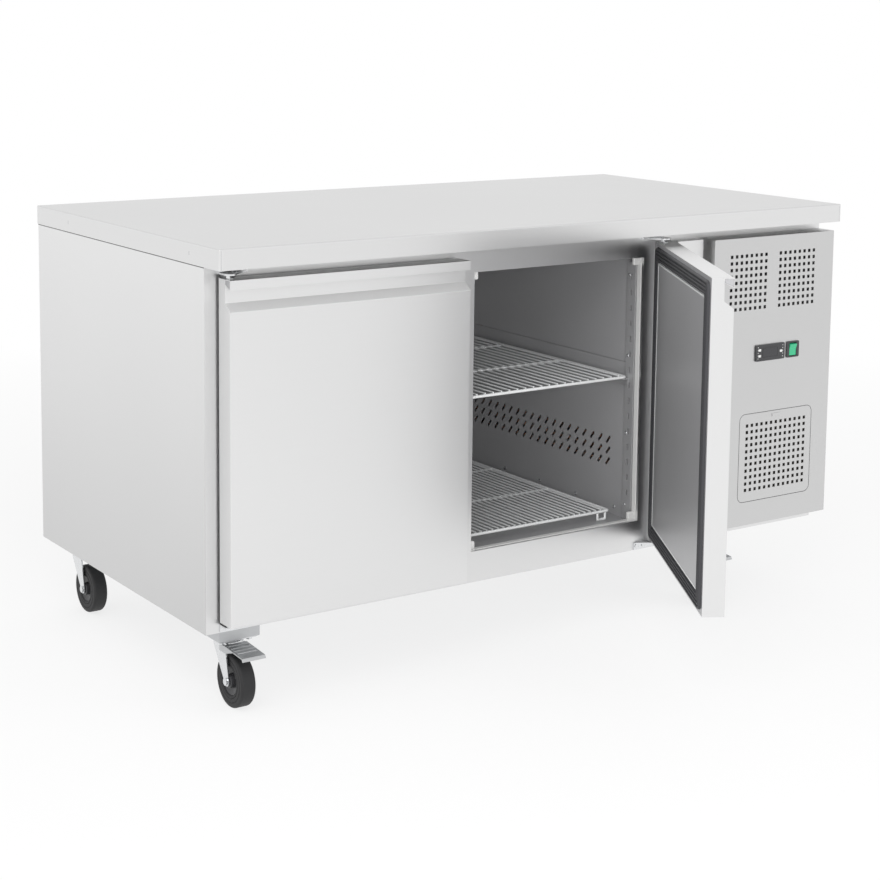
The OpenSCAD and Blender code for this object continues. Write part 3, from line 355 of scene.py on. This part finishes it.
def piece(name, bm, material, body):
    """Turns a bmesh into a finished object that rides a body."""
    mesh = bpy.data.meshes.new(name)
    bm.to_mesh(mesh)
    bm.free()
    obj = bpy.data.objects.new(name, mesh)
    bpy.context.scene.collection.objects.link(obj)
    shaded(obj)
    obj.data.materials.clear()
    obj.data.materials.append(materials[material])
    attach(obj, body)
    return obj


def carry(name, material, radius=0.0, least=0.003, segments=3):
    """A softened copy of a CAD node that stands in for it."""
    bm = bmesh.new()
    bm.from_mesh(nodes[name].data)
    bmesh.ops.remove_doubles(bm, verts=bm.verts, dist=2e-6)
    if radius:
        bmesh.ops.dissolve_limit(bm, angle_limit=FLAT_ANGLE, verts=bm.verts, edges=bm.edges)
        bmesh.ops.bevel(
            bm,
            geom=folds(bm, least),
            offset=radius,
            offset_type="OFFSET",
            segments=segments,
            profile=0.5,
            affect="EDGES",
            clamp_overlap=True,
        )
    obj = piece(name + "_finished", bm, material, nodes[name]["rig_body"])
    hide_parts(name)
    return obj


def islands(mesh):
    """Groups of faces that hang together, as lists of face indices."""
    bm = bmesh.new()
    bm.from_mesh(mesh)
    bm.faces.ensure_lookup_table()
    seen = set()
    groups = []
    for face in bm.faces:
        if face.index in seen:
            continue
        stack, group = [face], []
        seen.add(face.index)
        while stack:
            here = stack.pop()
            group.append(here.index)
            for near in (f for e in here.edges for f in e.link_faces):
                if near.index not in seen:
                    seen.add(near.index)
                    stack.append(near)
        groups.append(group)
    bm.free()
    return groups


def paint_islands(obj, material, wanted):
    """Gives a second material to the islands whose box size passes wanted()."""
    mesh = obj.data
    mesh.materials.append(materials[material])
    for group in islands(mesh):
        points = [mesh.vertices[v].co for f in group for v in mesh.polygons[f].vertices]
        size = [max(p[k] for p in points) - min(p[k] for p in points) for k in range(3)]
        if wanted(Vector(size)):
            for f in group:
                mesh.polygons[f].material_index = 1


def paint_faces(obj, material, wanted):
    """Gives a second material to the faces whose normal passes wanted()."""
    obj.data.materials.append(materials[material])
    for face in obj.data.polygons:
        if wanted(face.normal):
            face.material_index = 1


def ring(bm, points):
    return [bm.verts.new(p) for p in points]


def bridge(bm, first, second):
    """A closed band of faces between two rings with as many points."""
    count = len(first)
    for i in range(count):
        j = (i + 1) % count
        bm.faces.new((first[i], first[j], second[j], second[i]))


def rounded(lo, hi, inset, radius, steps=6):
    """Corner points of a rounded rectangle, anticlockwise, inset from lo..hi."""
    r = max(radius - inset, 0.0002)
    corners = [(hi[0], hi[1], 0), (lo[0], hi[1], 90), (lo[0], lo[1], 180), (hi[0], lo[1], 270)]
    points = []
    for x, y, start in corners:
        cx = x + (-1 if x == hi[0] else 1) * (inset + r)
        cy = y + (-1 if y == hi[1] else 1) * (inset + r)
        for k in range(steps + 1):
            a = math.radians(start + 90 * k / steps)
            points.append((cx + r * math.cos(a), cy + r * math.sin(a)))
    return points


def nested(profile, lo, hi, radius):
    """A solid frame: each profile point (inset, depth) is one rounded rectangle in X and Z.
    Depth runs towards +Y."""
    bm = bmesh.new()
    rings = []
    for inset, depth in profile:
        rings.append(ring(bm, [(x, depth, z) for x, z in rounded(lo, hi, inset, radius)]))
    for i, first in enumerate(rings):
        bridge(bm, first, rings[(i + 1) % len(rings)])
    bmesh.ops.recalc_face_normals(bm, faces=bm.faces)
    return bm


def lathe(profile, centre, axis, steps=64, closed=True):
    """A solid of revolution: each profile point is (along the axis, radius)."""
    bm = bmesh.new()
    turn = Vector((0, 0, 1)).rotation_difference(Vector(axis)).to_matrix()
    rings = []
    for along, r in profile:
        points = []
        for k in range(steps):
            a = math.tau * k / steps
            points.append(Vector(centre) + turn @ Vector((r * math.cos(a), r * math.sin(a), along)))
        rings.append(ring(bm, points))
    for first, second in zip(rings, rings[1:]):
        bridge(bm, first, second)
    if closed:
        bridge(bm, rings[-1], rings[0])
    else:
        bm.faces.new(rings[0][::-1])
        bm.faces.new(rings[-1])
    bmesh.ops.recalc_face_normals(bm, faces=bm.faces)
    return bm


def add_slab(bm, lo, hi, radius, segments=2):
    """Adds a box with rounded edges between two corners."""
    made = bmesh.ops.create_cube(bm, size=1.0)["verts"]
    for vert in made:
        vert.co = Vector(lo[k] + (vert.co[k] + 0.5) * (hi[k] - lo[k]) for k in range(3))
    edges = list({edge for vert in made for edge in vert.link_edges})
    bmesh.ops.bevel(bm, geom=edges, offset=radius, segments=segments, profile=0.5, affect="EDGES")


def slabs(boxes, radius, segments=2):
    bm = bmesh.new()
    for lo, hi in boxes:
        add_slab(bm, lo, hi, radius, segments)
    return bm


# %% [markdown]
# ## Copies with Geometry Nodes
#
# Screws repeat. One template mesh is set on a list of points by a node group with named inputs,
# and each copy gets its own random turn about its axis, as real screws have. The result is
# converted to a plain mesh, so it can ride a body.


# %% Copies
def copies_group():
    group = bpy.data.node_groups.new("copies_on_points", "GeometryNodeTree")
    kinds = {
        "Points": "NodeSocketGeometry",
        "Template": "NodeSocketObject",
        "Turn": "NodeSocketVector",
        "Spin": "NodeSocketFloat",
        "Material": "NodeSocketMaterial",
    }
    for label, kind in kinds.items():
        group.interface.new_socket(label, in_out="INPUT", socket_type=kind)
    group.interface.new_socket("Geometry", in_out="OUTPUT", socket_type="NodeSocketGeometry")
    make = group.nodes.new
    link = group.links.new
    source = make("NodeGroupInput").outputs
    template = make("GeometryNodeObjectInfo")
    copies = make("GeometryNodeInstanceOnPoints")
    chance = make("FunctionNodeRandomValue")
    about_z = make("ShaderNodeCombineXYZ")
    spun = make("GeometryNodeRotateInstances")
    real = make("GeometryNodeRealizeInstances")
    painted = make("GeometryNodeSetMaterial")
    link(source["Template"], template.inputs["Object"])
    link(source["Points"], copies.inputs["Points"])
    link(template.outputs["Geometry"], copies.inputs["Instance"])
    link(source["Turn"], copies.inputs["Rotation"])
    most = [s for s in chance.inputs if s.enabled and s.name == "Max"][0]
    value = [s for s in chance.outputs if s.enabled][0]
    link(source["Spin"], most)
    link(value, about_z.inputs["Z"])
    link(copies.outputs[0], spun.inputs["Instances"])
    link(about_z.outputs[0], spun.inputs["Rotation"])
    link(spun.outputs[0], real.inputs["Geometry"])
    link(real.outputs[0], painted.inputs["Geometry"])
    link(source["Material"], painted.inputs["Material"])
    link(painted.outputs[0], make("NodeGroupOutput").inputs[0])
    return group


COPIES = copies_group()


def copies(name, template, points, turn, material, body, slot):
    """One mesh of the template set on every point, its axis turned by Euler angles."""
    mesh = bpy.data.meshes.new(name)
    mesh.from_pydata([tuple(p) for p in points], [], [])
    obj = bpy.data.objects.new(name, mesh)
    bpy.context.scene.collection.objects.link(obj)
    modifier = obj.modifiers.new("copies", "NODES")
    modifier.node_group = COPIES
    ids = {s.name: s.identifier for s in COPIES.interface.items_tree if s.in_out == "INPUT"}
    modifier[ids["Template"]] = template
    modifier[ids["Turn"]] = turn
    modifier[ids["Spin"]] = math.tau
    modifier[ids["Material"]] = materials[material]
    settled(obj)
    obj.data.set_sharp_from_angle(angle=SHARP_ANGLE)
    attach(obj, body)
    return obj


def template(name, bm):
    """A mesh object for the copies; it isn't part of the scene itself."""
    mesh = bpy.data.meshes.new(name)
    bm.to_mesh(mesh)
    bm.free()
    mesh.shade_smooth()
    return bpy.data.objects.new(name, mesh)


def screw_bm(head_r, head_h):
    """A pan head with a cross recess; it looks along +Z from its seat."""
    shoulder = (head_h * 0.85, head_r * 0.8)
    crown = (head_h, head_r * 0.45)
    profile = [(0, head_r), (head_h * 0.45, head_r), shoulder, crown]
    bm = lathe(profile, (0, 0, 0), (0, 0, 1), 24, closed=False)
    top = max(bm.faces, key=lambda face: face.calc_center_median().z)
    arm, narrow = head_r * 0.38, head_r * 0.16
    deep = bmesh.ops.inset_region(bm, faces=[top], thickness=head_r * 0.06)
    for face in deep["faces"]:
        face.smooth = False
    for vert in top.verts:
        a = math.atan2(vert.co.y, vert.co.x)
        on_arm = abs(math.cos(2 * a)) > 0.7
        r = arm if on_arm else narrow
        vert.co.x, vert.co.y = r * math.cos(a), r * math.sin(a)
        vert.co.z -= head_h * 0.35
    return bm


SCREW = template("screw_template", screw_bm(0.0034, 0.0018))
FACING = {
    "back": (-math.pi / 2, 0, 0),
    "right": (0, math.pi / 2, 0),
    "left": (0, -math.pi / 2, 0),
}


def line(start, end, count):
    """Evenly spaced points from start to end."""
    start, end = Vector(start), Vector(end)
    return [start.lerp(end, i / (count - 1)) for i in range(count)]


# %% [markdown]
# ## Cabinet
#
# The folds of the worktop and the base rails get a small radius. A real worktop's corner is
# folded from one sheet and welded, so a hairline seam runs down each front corner.


# %% Worktop and outer sheets
def cabinet_shell():
    worktop = carry("worktop", "top", radius=0.0022, least=0.008, segments=4)
    # Painted shade: the upper face keeps the darker worktop steel, and the edge faces take the
    # brighter steel_x copy of the same sheet.
    paint_faces(worktop, "steel_x", lambda normal: normal.z < 0.5)
    carry("side_panel_left", "steel_y")
    carry("side_panel_right", "steel_y")
    carry("back_panel", "galvanised")
    carry("base_panel", "galvanised")
    carry("base_rails", "galvanised", radius=0.0012, least=0.002)
    carry("partition_panel", "galvanised")
    carry("front_frame", "steel_z")
    carry("mullion_cover", "inner", radius=0.001)
    carry("insulation", "foam")
    carry("hinge_brackets", "zinc", radius=0.0008, least=0.00008)
    carry("fasteners", "zinc")
    carry("power_inlet", "black")


def rail_ends():
    """End plates that close the base rails at the front and the back."""
    lo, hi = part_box("base_rails")
    thick, wide = 0.0012, 0.084
    lap, inset = 0.0001, 0.0005
    boxes = []
    for x in (lo.x, hi.x - wide):
        for y in (lo.y - thick + lap, hi.y - lap):
            boxes.append(((x, y, lo.z + inset), (x + wide, y + thick, hi.z - inset)))
    piece("rail_ends", slabs(boxes, 0.0004), "galvanised", "cabinet")


cabinet_shell()
rail_ends()
top_lo, top_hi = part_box("worktop")


def worktop_seams():
    """A hairline seam down each front corner of the worktop."""
    wide, inset, proud, sunk = 0.0007, 0.0042, 0.00012, 0.0002
    below, above = 0.001, 0.003
    boxes = []
    for x in (top_lo.x + inset, top_hi.x - inset):
        lo = (x - wide / 2, top_lo.y - proud, top_lo.z + below)
        hi = (x + wide / 2, top_lo.y + sunk, top_hi.z - above)
        boxes.append((lo, hi))
    piece("worktop_seams", slabs(boxes, 0.00005, 1), "grey", "cabinet")


def worktop_joint():
    """Black hairline on the left side panel just under the worktop: a painted shadow of the joint.
    """
    side_lo, side_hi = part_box("side_panel_left")
    tall, proud, sunk = 0.0022, 0.0001, 0.0005
    lo = (side_lo.x - proud, side_lo.y, top_lo.z - tall)
    hi = (side_lo.x + sunk, side_hi.y, top_lo.z)
    piece("worktop_joint", slabs([(lo, hi)], 0.0001, 1), "black", "cabinet")


def worktop_tabs():
    """Two small tabs on the worktop's left edge."""
    middle = (top_lo.z + top_hi.z) / 2
    half, wide, proud, sunk = 0.0035, 0.0014, 0.00006, 0.0003
    boxes = []
    for share in (0.14, 0.8):
        y = top_lo.y + share * (top_hi.y - top_lo.y)
        lo = (top_lo.x - proud, y, middle - half)
        hi = (top_lo.x + sunk, y + wide, middle + half)
        boxes.append((lo, hi))
    piece("worktop_edge_tabs", slabs(boxes, 0.00005, 1), "grey", "cabinet")


worktop_seams()
worktop_joint()
worktop_tabs()
made("worktop and outer sheets")

# %% [markdown]
# ## Chamber
#
# Dull steel sheet lines the chamber. Slotted strips carry the shelves, a plastic breaker trim
# closes the gap between frame and lining, and the trim's corners are separate blocks.


# %% Chamber
def chamber():
    carry("inner_liner", "inner")
    carry("evaporator_cover", "inner")
    carry("pilasters", "liner")
    carry("shelf_supports", "liner", radius=0.0006, least=0.001)
    for name in ("shelf_upper_left", "shelf_upper_right", "shelf_lower_left", "shelf_lower_right"):
        carry(name, "wire")
    coil = carry("evaporator_coil", "fins")
    paint_islands(coil, "copper", lambda size: size.x < 0.012 and size.y > 0.1)
    carry("evaporator_motor", "black")
    carry("evaporator_fan", "black")


chamber()
cham_lo, cham_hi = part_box("inner_liner")
post_lo, post_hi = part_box("pilasters")
gasket_lo, gasket_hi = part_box("left_door_gasket")
mullion_lo, mullion_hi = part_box("mullion_cover")
cover_lo, cover_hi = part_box("evaporator_cover")
# Steps from the lining, or from the evaporator cover, to the edge of a door opening
side_step, cover_step, end_step = 3 * MM, 2 * MM, 8 * MM
# Each door opening as x0, x1; the trims and corner blocks follow it
OPENINGS = [(cham_lo.x + side_step, mullion_lo.x), (mullion_hi.x, cover_lo.x - cover_step)]
open_z0, open_z1 = cham_lo.z + end_step, cham_hi.z - end_step
jamb_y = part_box("front_frame")[1].y


def jamb_strips():
    """Pale breaker strips behind the frame's jambs, on all four sides of each opening."""
    thick, deep, proud, lap = 0.0016, 0.011, 0.0006, 0.0002
    strips = []
    for x0, x1 in OPENINGS:
        for x, side in ((x0, 1), (x1, -1)):
            a, b = sorted((x - side * lap, x - side * lap + side * thick))
            strips.append(((a, jamb_y - deep, open_z0), (b, jamb_y + proud, open_z1)))
        for z, side in ((open_z0, 1), (open_z1, -1)):
            a, b = sorted((z - side * lap, z - side * lap + side * thick))
            strips.append(((x0, jamb_y - deep, a), (x1, jamb_y + proud, b)))
    piece("jamb_trims", slabs(strips, 0.0006), "pale", "cabinet")


def jamb_blocks():
    """A pale block in each corner of the openings."""
    wide, deep, proud = 0.017, 0.008, 0.0008
    blocks = []
    for x0, x1 in OPENINGS:
        for x, sx in ((x0, 1), (x1, -1)):
            for z, sz in ((open_z0, 1), (open_z1, -1)):
                xs, zs = sorted((x, x + sx * wide)), sorted((z, z + sz * wide))
                blocks.append(((xs[0], jamb_y - deep, zs[0]), (xs[1], jamb_y + proud, zs[1])))
    piece("jamb_corner_blocks", slabs(blocks, 0.003, 3), "pale", "cabinet")


def strip_screws():
    """Screws down the slotted strips at both ends of the chamber."""
    inset, beside, sunk = 0.0125, 0.0062, 0.0056
    shares = (0.06, 0.34, 0.64, 0.95)
    heights = [post_lo.z + share * (post_hi.z - post_lo.z) for share in shares]
    ys = [post_lo.y + inset, post_hi.y - inset]
    left = [(post_lo.x + sunk, y + beside, z) for y in ys for z in heights]
    right = [(post_hi.x - sunk, y + beside, z) for y in ys for z in heights]
    copies("left_strip_screws", SCREW, left, FACING["right"], "zinc", "cabinet", "zinc")
    copies("right_strip_screws", SCREW, right, FACING["left"], "zinc", "cabinet", "zinc")


def cover_screws():
    """Screws along the top and the bottom of the evaporator cover."""
    inset, front, back = 0.018, 0.06, 0.1
    edge = []
    for z in (cover_lo.z + inset, cover_hi.z - inset):
        start = (cover_lo.x, cover_lo.y + front, z)
        edge += line(start, (cover_lo.x, cover_hi.y - back, z), 5)
    copies("cover_screws", SCREW, edge, FACING["left"], "zinc", "cabinet", "zinc")


jamb_strips()
jamb_blocks()
strip_screws()
cover_screws()
made("chamber")

# %% [markdown]
# ## Doors
#
# Both doors are the same shape mirrored. Their details are worked out on the closed left door,
# and `door_matrix` carries them to the right one, which stands open. The magnetic seal is a
# ribbed rubber section that runs round the inner face with rounded corners.

# %% Door places
hinges = {joint["name"]: joint for joint in frame["joints"]}
OPEN_ANGLE = math.radians(60)
SEAL_WIDTH = 0.028
SEAL_CORNER = 0.016


def pivot(name):
    return Vector(hinges[name]["pos_m"])


def door_matrix(side):
    """Moves the closed left door's details on to the door at that side."""
    if side == "left":
        return Matrix.Identity(4)
    back = Matrix.Translation(-pivot("left_door_hinge"))
    mirror = Matrix.Diagonal((-1, 1, 1, 1))
    turn = Matrix.Rotation(OPEN_ANGLE, 4, "Z")
    return Matrix.Translation(pivot("right_door_hinge")) @ turn @ mirror @ back


def door_piece(side, name, bm, material, slot, *stands_for):
    bm.transform(door_matrix(side))
    bmesh.ops.recalc_face_normals(bm, faces=bm.faces)
    obj = piece(f"{side}_{name}", bm, material, f"{side}_door")
    if stands_for:
        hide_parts(*stands_for)
    return obj


def gasket_profile(width, depth, ribs=4):
    """Flat foot, then round ribs with grooves between them; (inset, depth) pairs."""
    steps = ribs * 8
    edge, low = 0.0004, 0.42
    back = gasket_lo.y
    points = [(0, back)]
    for i in range(steps + 1):
        share = i / steps
        rise = low + (1 - low) * abs(math.sin(math.pi * ribs * share)) ** 0.6
        points.append((edge + share * (width - 2 * edge), back + depth * rise))
    points.append((width, back))
    return points


def liner_fold():
    """Rounded fold where the door's inner sheet rises inside the seal; its pale coating paints the
    highlight along the fold.
    """
    inset, wide, edge = 0.0302, 0.0042, 0.0004
    low, high = gasket_lo.y + 0.0002, gasket_lo.y + 0.0034
    rise = [(0, low), (0.0003, high - edge), (0.0008, high)]
    fall = [(wide - edge, high), (wide, low)]
    lo = (gasket_lo.x + inset, gasket_lo.z + inset)
    hi = (gasket_hi.x - inset, gasket_hi.z - inset)
    return nested(rise + fall, lo, hi, 0.004)


# %% Doors
def door(side):
    skin = carry(f"{side}_door_skin", "door", radius=0.0016, segments=3)
    # Painted shade: the sloped faces of the handle recess take a darker, duller copy of the door
    # steel.
    paint_faces(skin, "recess", lambda normal: 0.3 < normal.z < 0.98)
    carry(f"{side}_door_foam", "foam")
    carry(f"{side}_door_liner", "liner", radius=0.0012, least=0.0009)
    carry(f"{side}_handle_caps", "grey", radius=0.0004, least=0.00001)
    lo, hi = gasket_lo, gasket_hi
    profile = gasket_profile(SEAL_WIDTH, hi.y - lo.y)
    seal = nested(profile, (lo.x, lo.z), (hi.x, hi.z), SEAL_CORNER)
    door_piece(side, "seal", seal, "gasket", "gasket", f"{side}_door_gasket")
    # The steel fold takes the pale shelf coating, a painted highlight.
    door_piece(side, "liner_fold", liner_fold(), "wire", "brushed_steel")


for side in ("left", "right"):
    door(side)
    made(side + " door")

# %% [markdown]
# ## Machine bay
#
# The perforated panel and the filter cover come from CAD with every hole. The controller's face
# gets a display window and status marks. The filter cover gets a finger catch, and a black line
# that paints the shade in the gap round it.


# %% Machine bay
def machine_bay():
    carry("post_cover", "steel_z", radius=0.0014, least=0.002)
    carry("machine_panel", "panel", radius=0.0014, least=0.002)
    carry("filter_cover", "panel")
    mesh = carry("filter_mesh", "filter")
    paint_islands(mesh, "black", lambda size: size.x > 0.215)
    carry("controller_body", "black", radius=0.0006, least=0.0001)
    carry("switch_housing", "black", radius=0.0005, least=0.0001)
    carry("switch_rocker", "green", radius=0.0008, least=0.00002)
    for name in ("button_set", "button_up", "button_down"):
        carry(name, "pale", radius=0.0003, least=0.000001)
    carry("compressor", "enamel", radius=0.0012, least=0.0002)
    coil = carry("condenser_coil", "fins")
    paint_islands(coil, "copper", lambda size: size.y < 0.012 and size.x > 0.1)
    carry("condenser_shroud", "black")
    carry("condenser_fan", "black")
    carry("copper_pipes", "copper")


machine_bay()
control_lo, control_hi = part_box("controller_body")
filter_lo, filter_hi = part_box("filter_cover")


def display():
    """A dark window with a thin rim, in the middle of the controller."""
    side, half, lip = 0.020, 0.011, 0.0014
    x0, x1 = control_lo.x + side, control_hi.x - side
    middle = (control_lo.z + control_hi.z) / 2
    y = control_lo.y
    profile = [(0, y + 0.0006), (0, y - 0.0004), (0.0012, y - 0.0006), (0.0013, y + 0.0006)]
    rim = nested(profile, (x0, middle - half), (x1, middle + half), 0.002)
    piece("display_rim", rim, "black", "cabinet")
    lo = (x0 + lip, y - 0.0003, middle - (half - lip))
    hi = (x1 - lip, y + 0.0005, middle + (half - lip))
    piece("display_window", slabs([(lo, hi)], 0.0002), "screen", "cabinet")


def controller_marks():
    """Small pale marks at both ends of the controller."""
    wide, tall, proud = 0.0018, 0.0016, 0.0002
    middle = (control_lo.z + control_hi.z) / 2
    y = control_lo.y
    marks = []
    for x in (control_lo.x + 0.0055, control_hi.x - 0.0068):
        for row in (-0.0125, -0.0065, -0.0005, 0.0055, 0.0115):
            lo = (x, y - proud, middle + row)
            marks.append((lo, (x + wide, y + proud, middle + row + tall)))
    piece("controller_marks", slabs(marks, 0.0001, 1), "pale", "cabinet")


def filter_catch():
    """Finger catch at the top of the filter cover."""
    middle = (filter_lo.x + filter_hi.x) / 2
    half, proud, sunk = 0.012, 0.0014, 0.0002
    lo = (middle - half, filter_lo.y - proud, filter_hi.z - 0.0125)
    hi = (middle + half, filter_lo.y + sunk, filter_hi.z - 0.0055)
    piece("filter_catch", slabs([(lo, hi)], 0.0006, 3), "panel", "filter_cover")


def filter_groove():
    """Black line that paints the shade in the gap round the filter cover."""
    outside, inside = -0.0012, -0.0004
    back, front = filter_lo.y + 0.0003, filter_lo.y - 0.0001
    profile = [(outside, back), (outside, front), (inside, front), (inside, back)]
    lo, hi = (filter_lo.x, filter_lo.z), (filter_hi.x, filter_hi.z)
    piece("filter_groove", nested(profile, lo, hi, 0.014), "black", "cabinet")


def back_screws():
    """Screws round the edge of the back panel."""
    lo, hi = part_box("back_panel")
    inset, end = 0.012, 0.2
    edge = []
    for z in (lo.z + inset, hi.z - inset):
        edge += line((lo.x + inset, hi.y, z), (hi.x - inset, hi.y, z), 9)
    for x in (lo.x + inset, hi.x - inset):
        edge += line((x, hi.y, lo.z + end), (x, hi.y, hi.z - end), 3)
    copies("back_screws", SCREW, edge, FACING["back"], "zinc", "cabinet", "zinc")


display()
controller_marks()
filter_catch()
filter_groove()
back_screws()
made("machine bay")

# %% [markdown]
# ## Castors
#
# Each wheel is turned about its axle. The tyre's sides have two concentric grooves, the hub is
# plain dark plastic, and a pressed cup covers the ball race above the fork.

# %% Castors
CORNERS = ("front_left", "front_right", "rear_left", "rear_right")


def groove(at, radius, side, width, depth=0.0012):
    """Three profile points of a groove in a tyre's flat side."""
    return [(at, radius + width / 2), (at - side * depth, radius), (at, radius - width / 2)]


def tyre_profile(half, outer, inner, edge=0.005):
    """Tread and both grooved sides, from the inner rim round and back."""
    points = []
    for side in (-1, 1):
        flank = [(side * (half - 0.002), inner), (side * half, inner + 0.002)]
        for inset, width in ((0.018, 0.0024), (0.010, 0.0028)):
            flank += groove(side * half, outer - inset, side, width)[::-1]
        for k in range(7):
            a = math.radians(15 * k)
            x = half - edge + edge * math.cos(a)
            flank.append((side * x, outer - edge + edge * math.sin(a)))
        points += flank if side < 0 else flank[::-1]
    return points


def hub_profile(end, half, rim, bore=0.00405, boss=0.013):
    """A boss as long as the axle space, a thin web, and the rim under the tyre."""
    side = [
        (end, bore),
        (end, boss - 0.0012),
        (end - 0.001, boss),
        (half - 0.006, boss),
        (half - 0.0045, rim - 0.0125),
        (half - 0.0025, rim - 0.009),
    ]
    return [(-along, r) for along, r in side] + side[::-1]


def castor(corner):
    body = f"wheel_{corner}_body"
    lo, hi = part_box(f"wheel_{corner}")
    centre = (lo + hi) / 2
    outer = (hi.z - lo.z) / 2
    half = 0.015
    rim = outer - 0.015
    rubber = lathe(tyre_profile(half, outer, rim - 0.0084), centre, (1, 0, 0), 96)
    tyre = piece(f"tyre_{corner}", rubber, "tyre", body)
    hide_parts(f"wheel_{corner}")
    hub = lathe(hub_profile((hi.x - lo.x) / 2, half, rim), centre, (1, 0, 0), 72)
    piece(f"hub_{corner}", hub, "black", body)
    carry(f"fork_{corner}", "zinc", radius=0.0008, least=0.00005)
    race_cup(corner)


def race_cup(corner):
    """Pressed cup round the swivel bearing, above the fork's round plate."""
    lo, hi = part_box(f"fork_{corner}")
    plate_lo, plate_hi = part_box("castor_plates")
    swivel, inner = 0.038, 0.0131
    x = (lo.x + hi.x) / 2
    y = plate_lo.y + swivel if "front" in corner else plate_hi.y - swivel
    z0, z1 = hi.z - 0.0055, hi.z - 0.0004
    lower = [(z0, inner), (z0, 0.0232), (z0 + 0.0015, 0.0226)]
    upper = [(z1 - 0.001, 0.0200), (z1, 0.0185), (z1, inner)]
    cup = lathe(lower + upper, (x, y, 0), (0, 0, 1), 48)
    piece(f"race_cup_{corner}", cup, "zinc", f"fork_{corner}_body")


for corner in CORNERS:
    castor(corner)
carry("castor_plates", "zinc", radius=0.0008, least=0.0003)
for side in ("left", "right"):
    carry(f"pedal_{side}", "galvanised", radius=0.0006, least=0.00003)
made("castors")

# %% [markdown]
# ## Studio
#
# The background is white only for rays that a viewer would see: straight, mirrored or through
# glass. All other rays meet a plain, dimmer white. The floor mixes a plain glow with a diffuse
# sheet, and keeps a faint shadow.


# %% Studio
def seen_directly(shader):
    """1 for camera, mirror and glass rays."""
    path = shader.tree.nodes.new("ShaderNodeLightPath")
    kinds = ("Is Camera Ray", "Is Glossy Ray", "Is Transmission Ray")
    parts = [Value(shader, path.outputs[kind]) for kind in kinds]
    return parts[0].at_least(parts[1]).at_least(parts[2])


def world_light():
    world = bpy.data.worlds.new("studio")
    bpy.context.scene.world = world
    shader = Shader("studio", world)
    plain = shader.node("ShaderNodeBackground", Color=(1, 1, 1, 1), Strength=0.80)
    white = shader.node("ShaderNodeBackground", Color=(1, 1, 1, 1), Strength=1.0)
    mix = shader.tree.nodes.new("ShaderNodeMixShader")
    shader.feed(mix.inputs[0], seen_directly(shader))
    shader.feed(mix.inputs[1], plain)
    shader.feed(mix.inputs[2], white)
    shader.finish(Value(shader, mix.outputs[0]), "ShaderNodeOutputWorld")


def floor_sheet():
    shader = Shader("studio_floor")
    glow = shader.node("ShaderNodeEmission", Color=(1, 1, 1, 1), Strength=1.0)
    sheet = shader.node("ShaderNodeBsdfDiffuse", Color=(0.86, 0.86, 0.86, 1))
    mix = shader.tree.nodes.new("ShaderNodeMixShader")
    x, y, z = shader.axes()
    far = (x * x + y * y).between(2.0, 12.0)
    shader.feed(mix.inputs[0], 0.2 + seen_directly(shader) * (0.56 + far * 0.24))
    shader.feed(mix.inputs[1], sheet)
    shader.feed(mix.inputs[2], glow)
    material = shader.finish(Value(shader, mix.outputs[0]))
    bm = bmesh.new()
    bmesh.ops.create_grid(bm, x_segments=2, y_segments=2, size=14.0)
    mesh = bpy.data.meshes.new("floor")
    bm.to_mesh(mesh)
    bm.free()
    mesh.materials.append(material)
    obj = bpy.data.objects.new("floor", mesh)
    bpy.context.scene.collection.objects.link(obj)
    return obj


def lamp(name, at, towards, size, power, mirrored=True):
    """A square soft box; where mirrored is off, metal doesn't show its reflection."""
    light = bpy.data.lights.new(name, "AREA")
    light.size = size
    light.energy = power
    obj = bpy.data.objects.new(name, light)
    obj.visible_glossy = mirrored
    obj.location = at
    obj.rotation_euler = (Vector(towards) - Vector(at)).to_track_quat("-Z", "Y").to_euler()
    bpy.context.scene.collection.objects.link(obj)
    return obj


def camera():
    """Stands to the left of the front, a little above the worktop, and looks slightly down."""
    data = bpy.data.cameras.new("view")
    data.sensor_width = 36.0
    data.lens = 76.66
    data.shift_x = 0.0341
    data.shift_y = -0.2275
    yaw, pitch, roll = (math.radians(a) for a in (33.717, 7.249, 0.534))
    flat = math.cos(pitch)
    ahead = Vector((math.sin(yaw) * flat, math.cos(yaw) * flat, -math.sin(pitch)))
    level = Vector((math.cos(yaw), -math.sin(yaw), 0))
    above = level.cross(ahead)
    right = math.cos(roll) * level + math.sin(roll) * above
    up = -math.sin(roll) * level + math.cos(roll) * above
    turn = Matrix((right, up, -ahead)).transposed()
    obj = bpy.data.objects.new("view", data)
    spot = (-2.2487, -3.0246, 1.2847)
    obj.matrix_world = Matrix.Translation(spot) @ turn.to_4x4()
    bpy.context.scene.collection.objects.link(obj)
    bpy.context.scene.camera = obj
    return obj


world_light()
stage = [
    floor_sheet(),
    lamp("key", (-2.6, -2.2, 3.2), (0, 0, 0.5), 3.0, 55),
    lamp("fill", (2.6, -2.8, 1.8), (0, 0, 0.4), 2.2, 25, mirrored=False),
    lamp("front", (-1.6, -3.4, 1.0), (0.1, 0.2, 0.5), 1.2, 45, mirrored=False),
    camera(),
]
bpy.context.scene.view_settings.view_transform = "Standard"
made("studio")
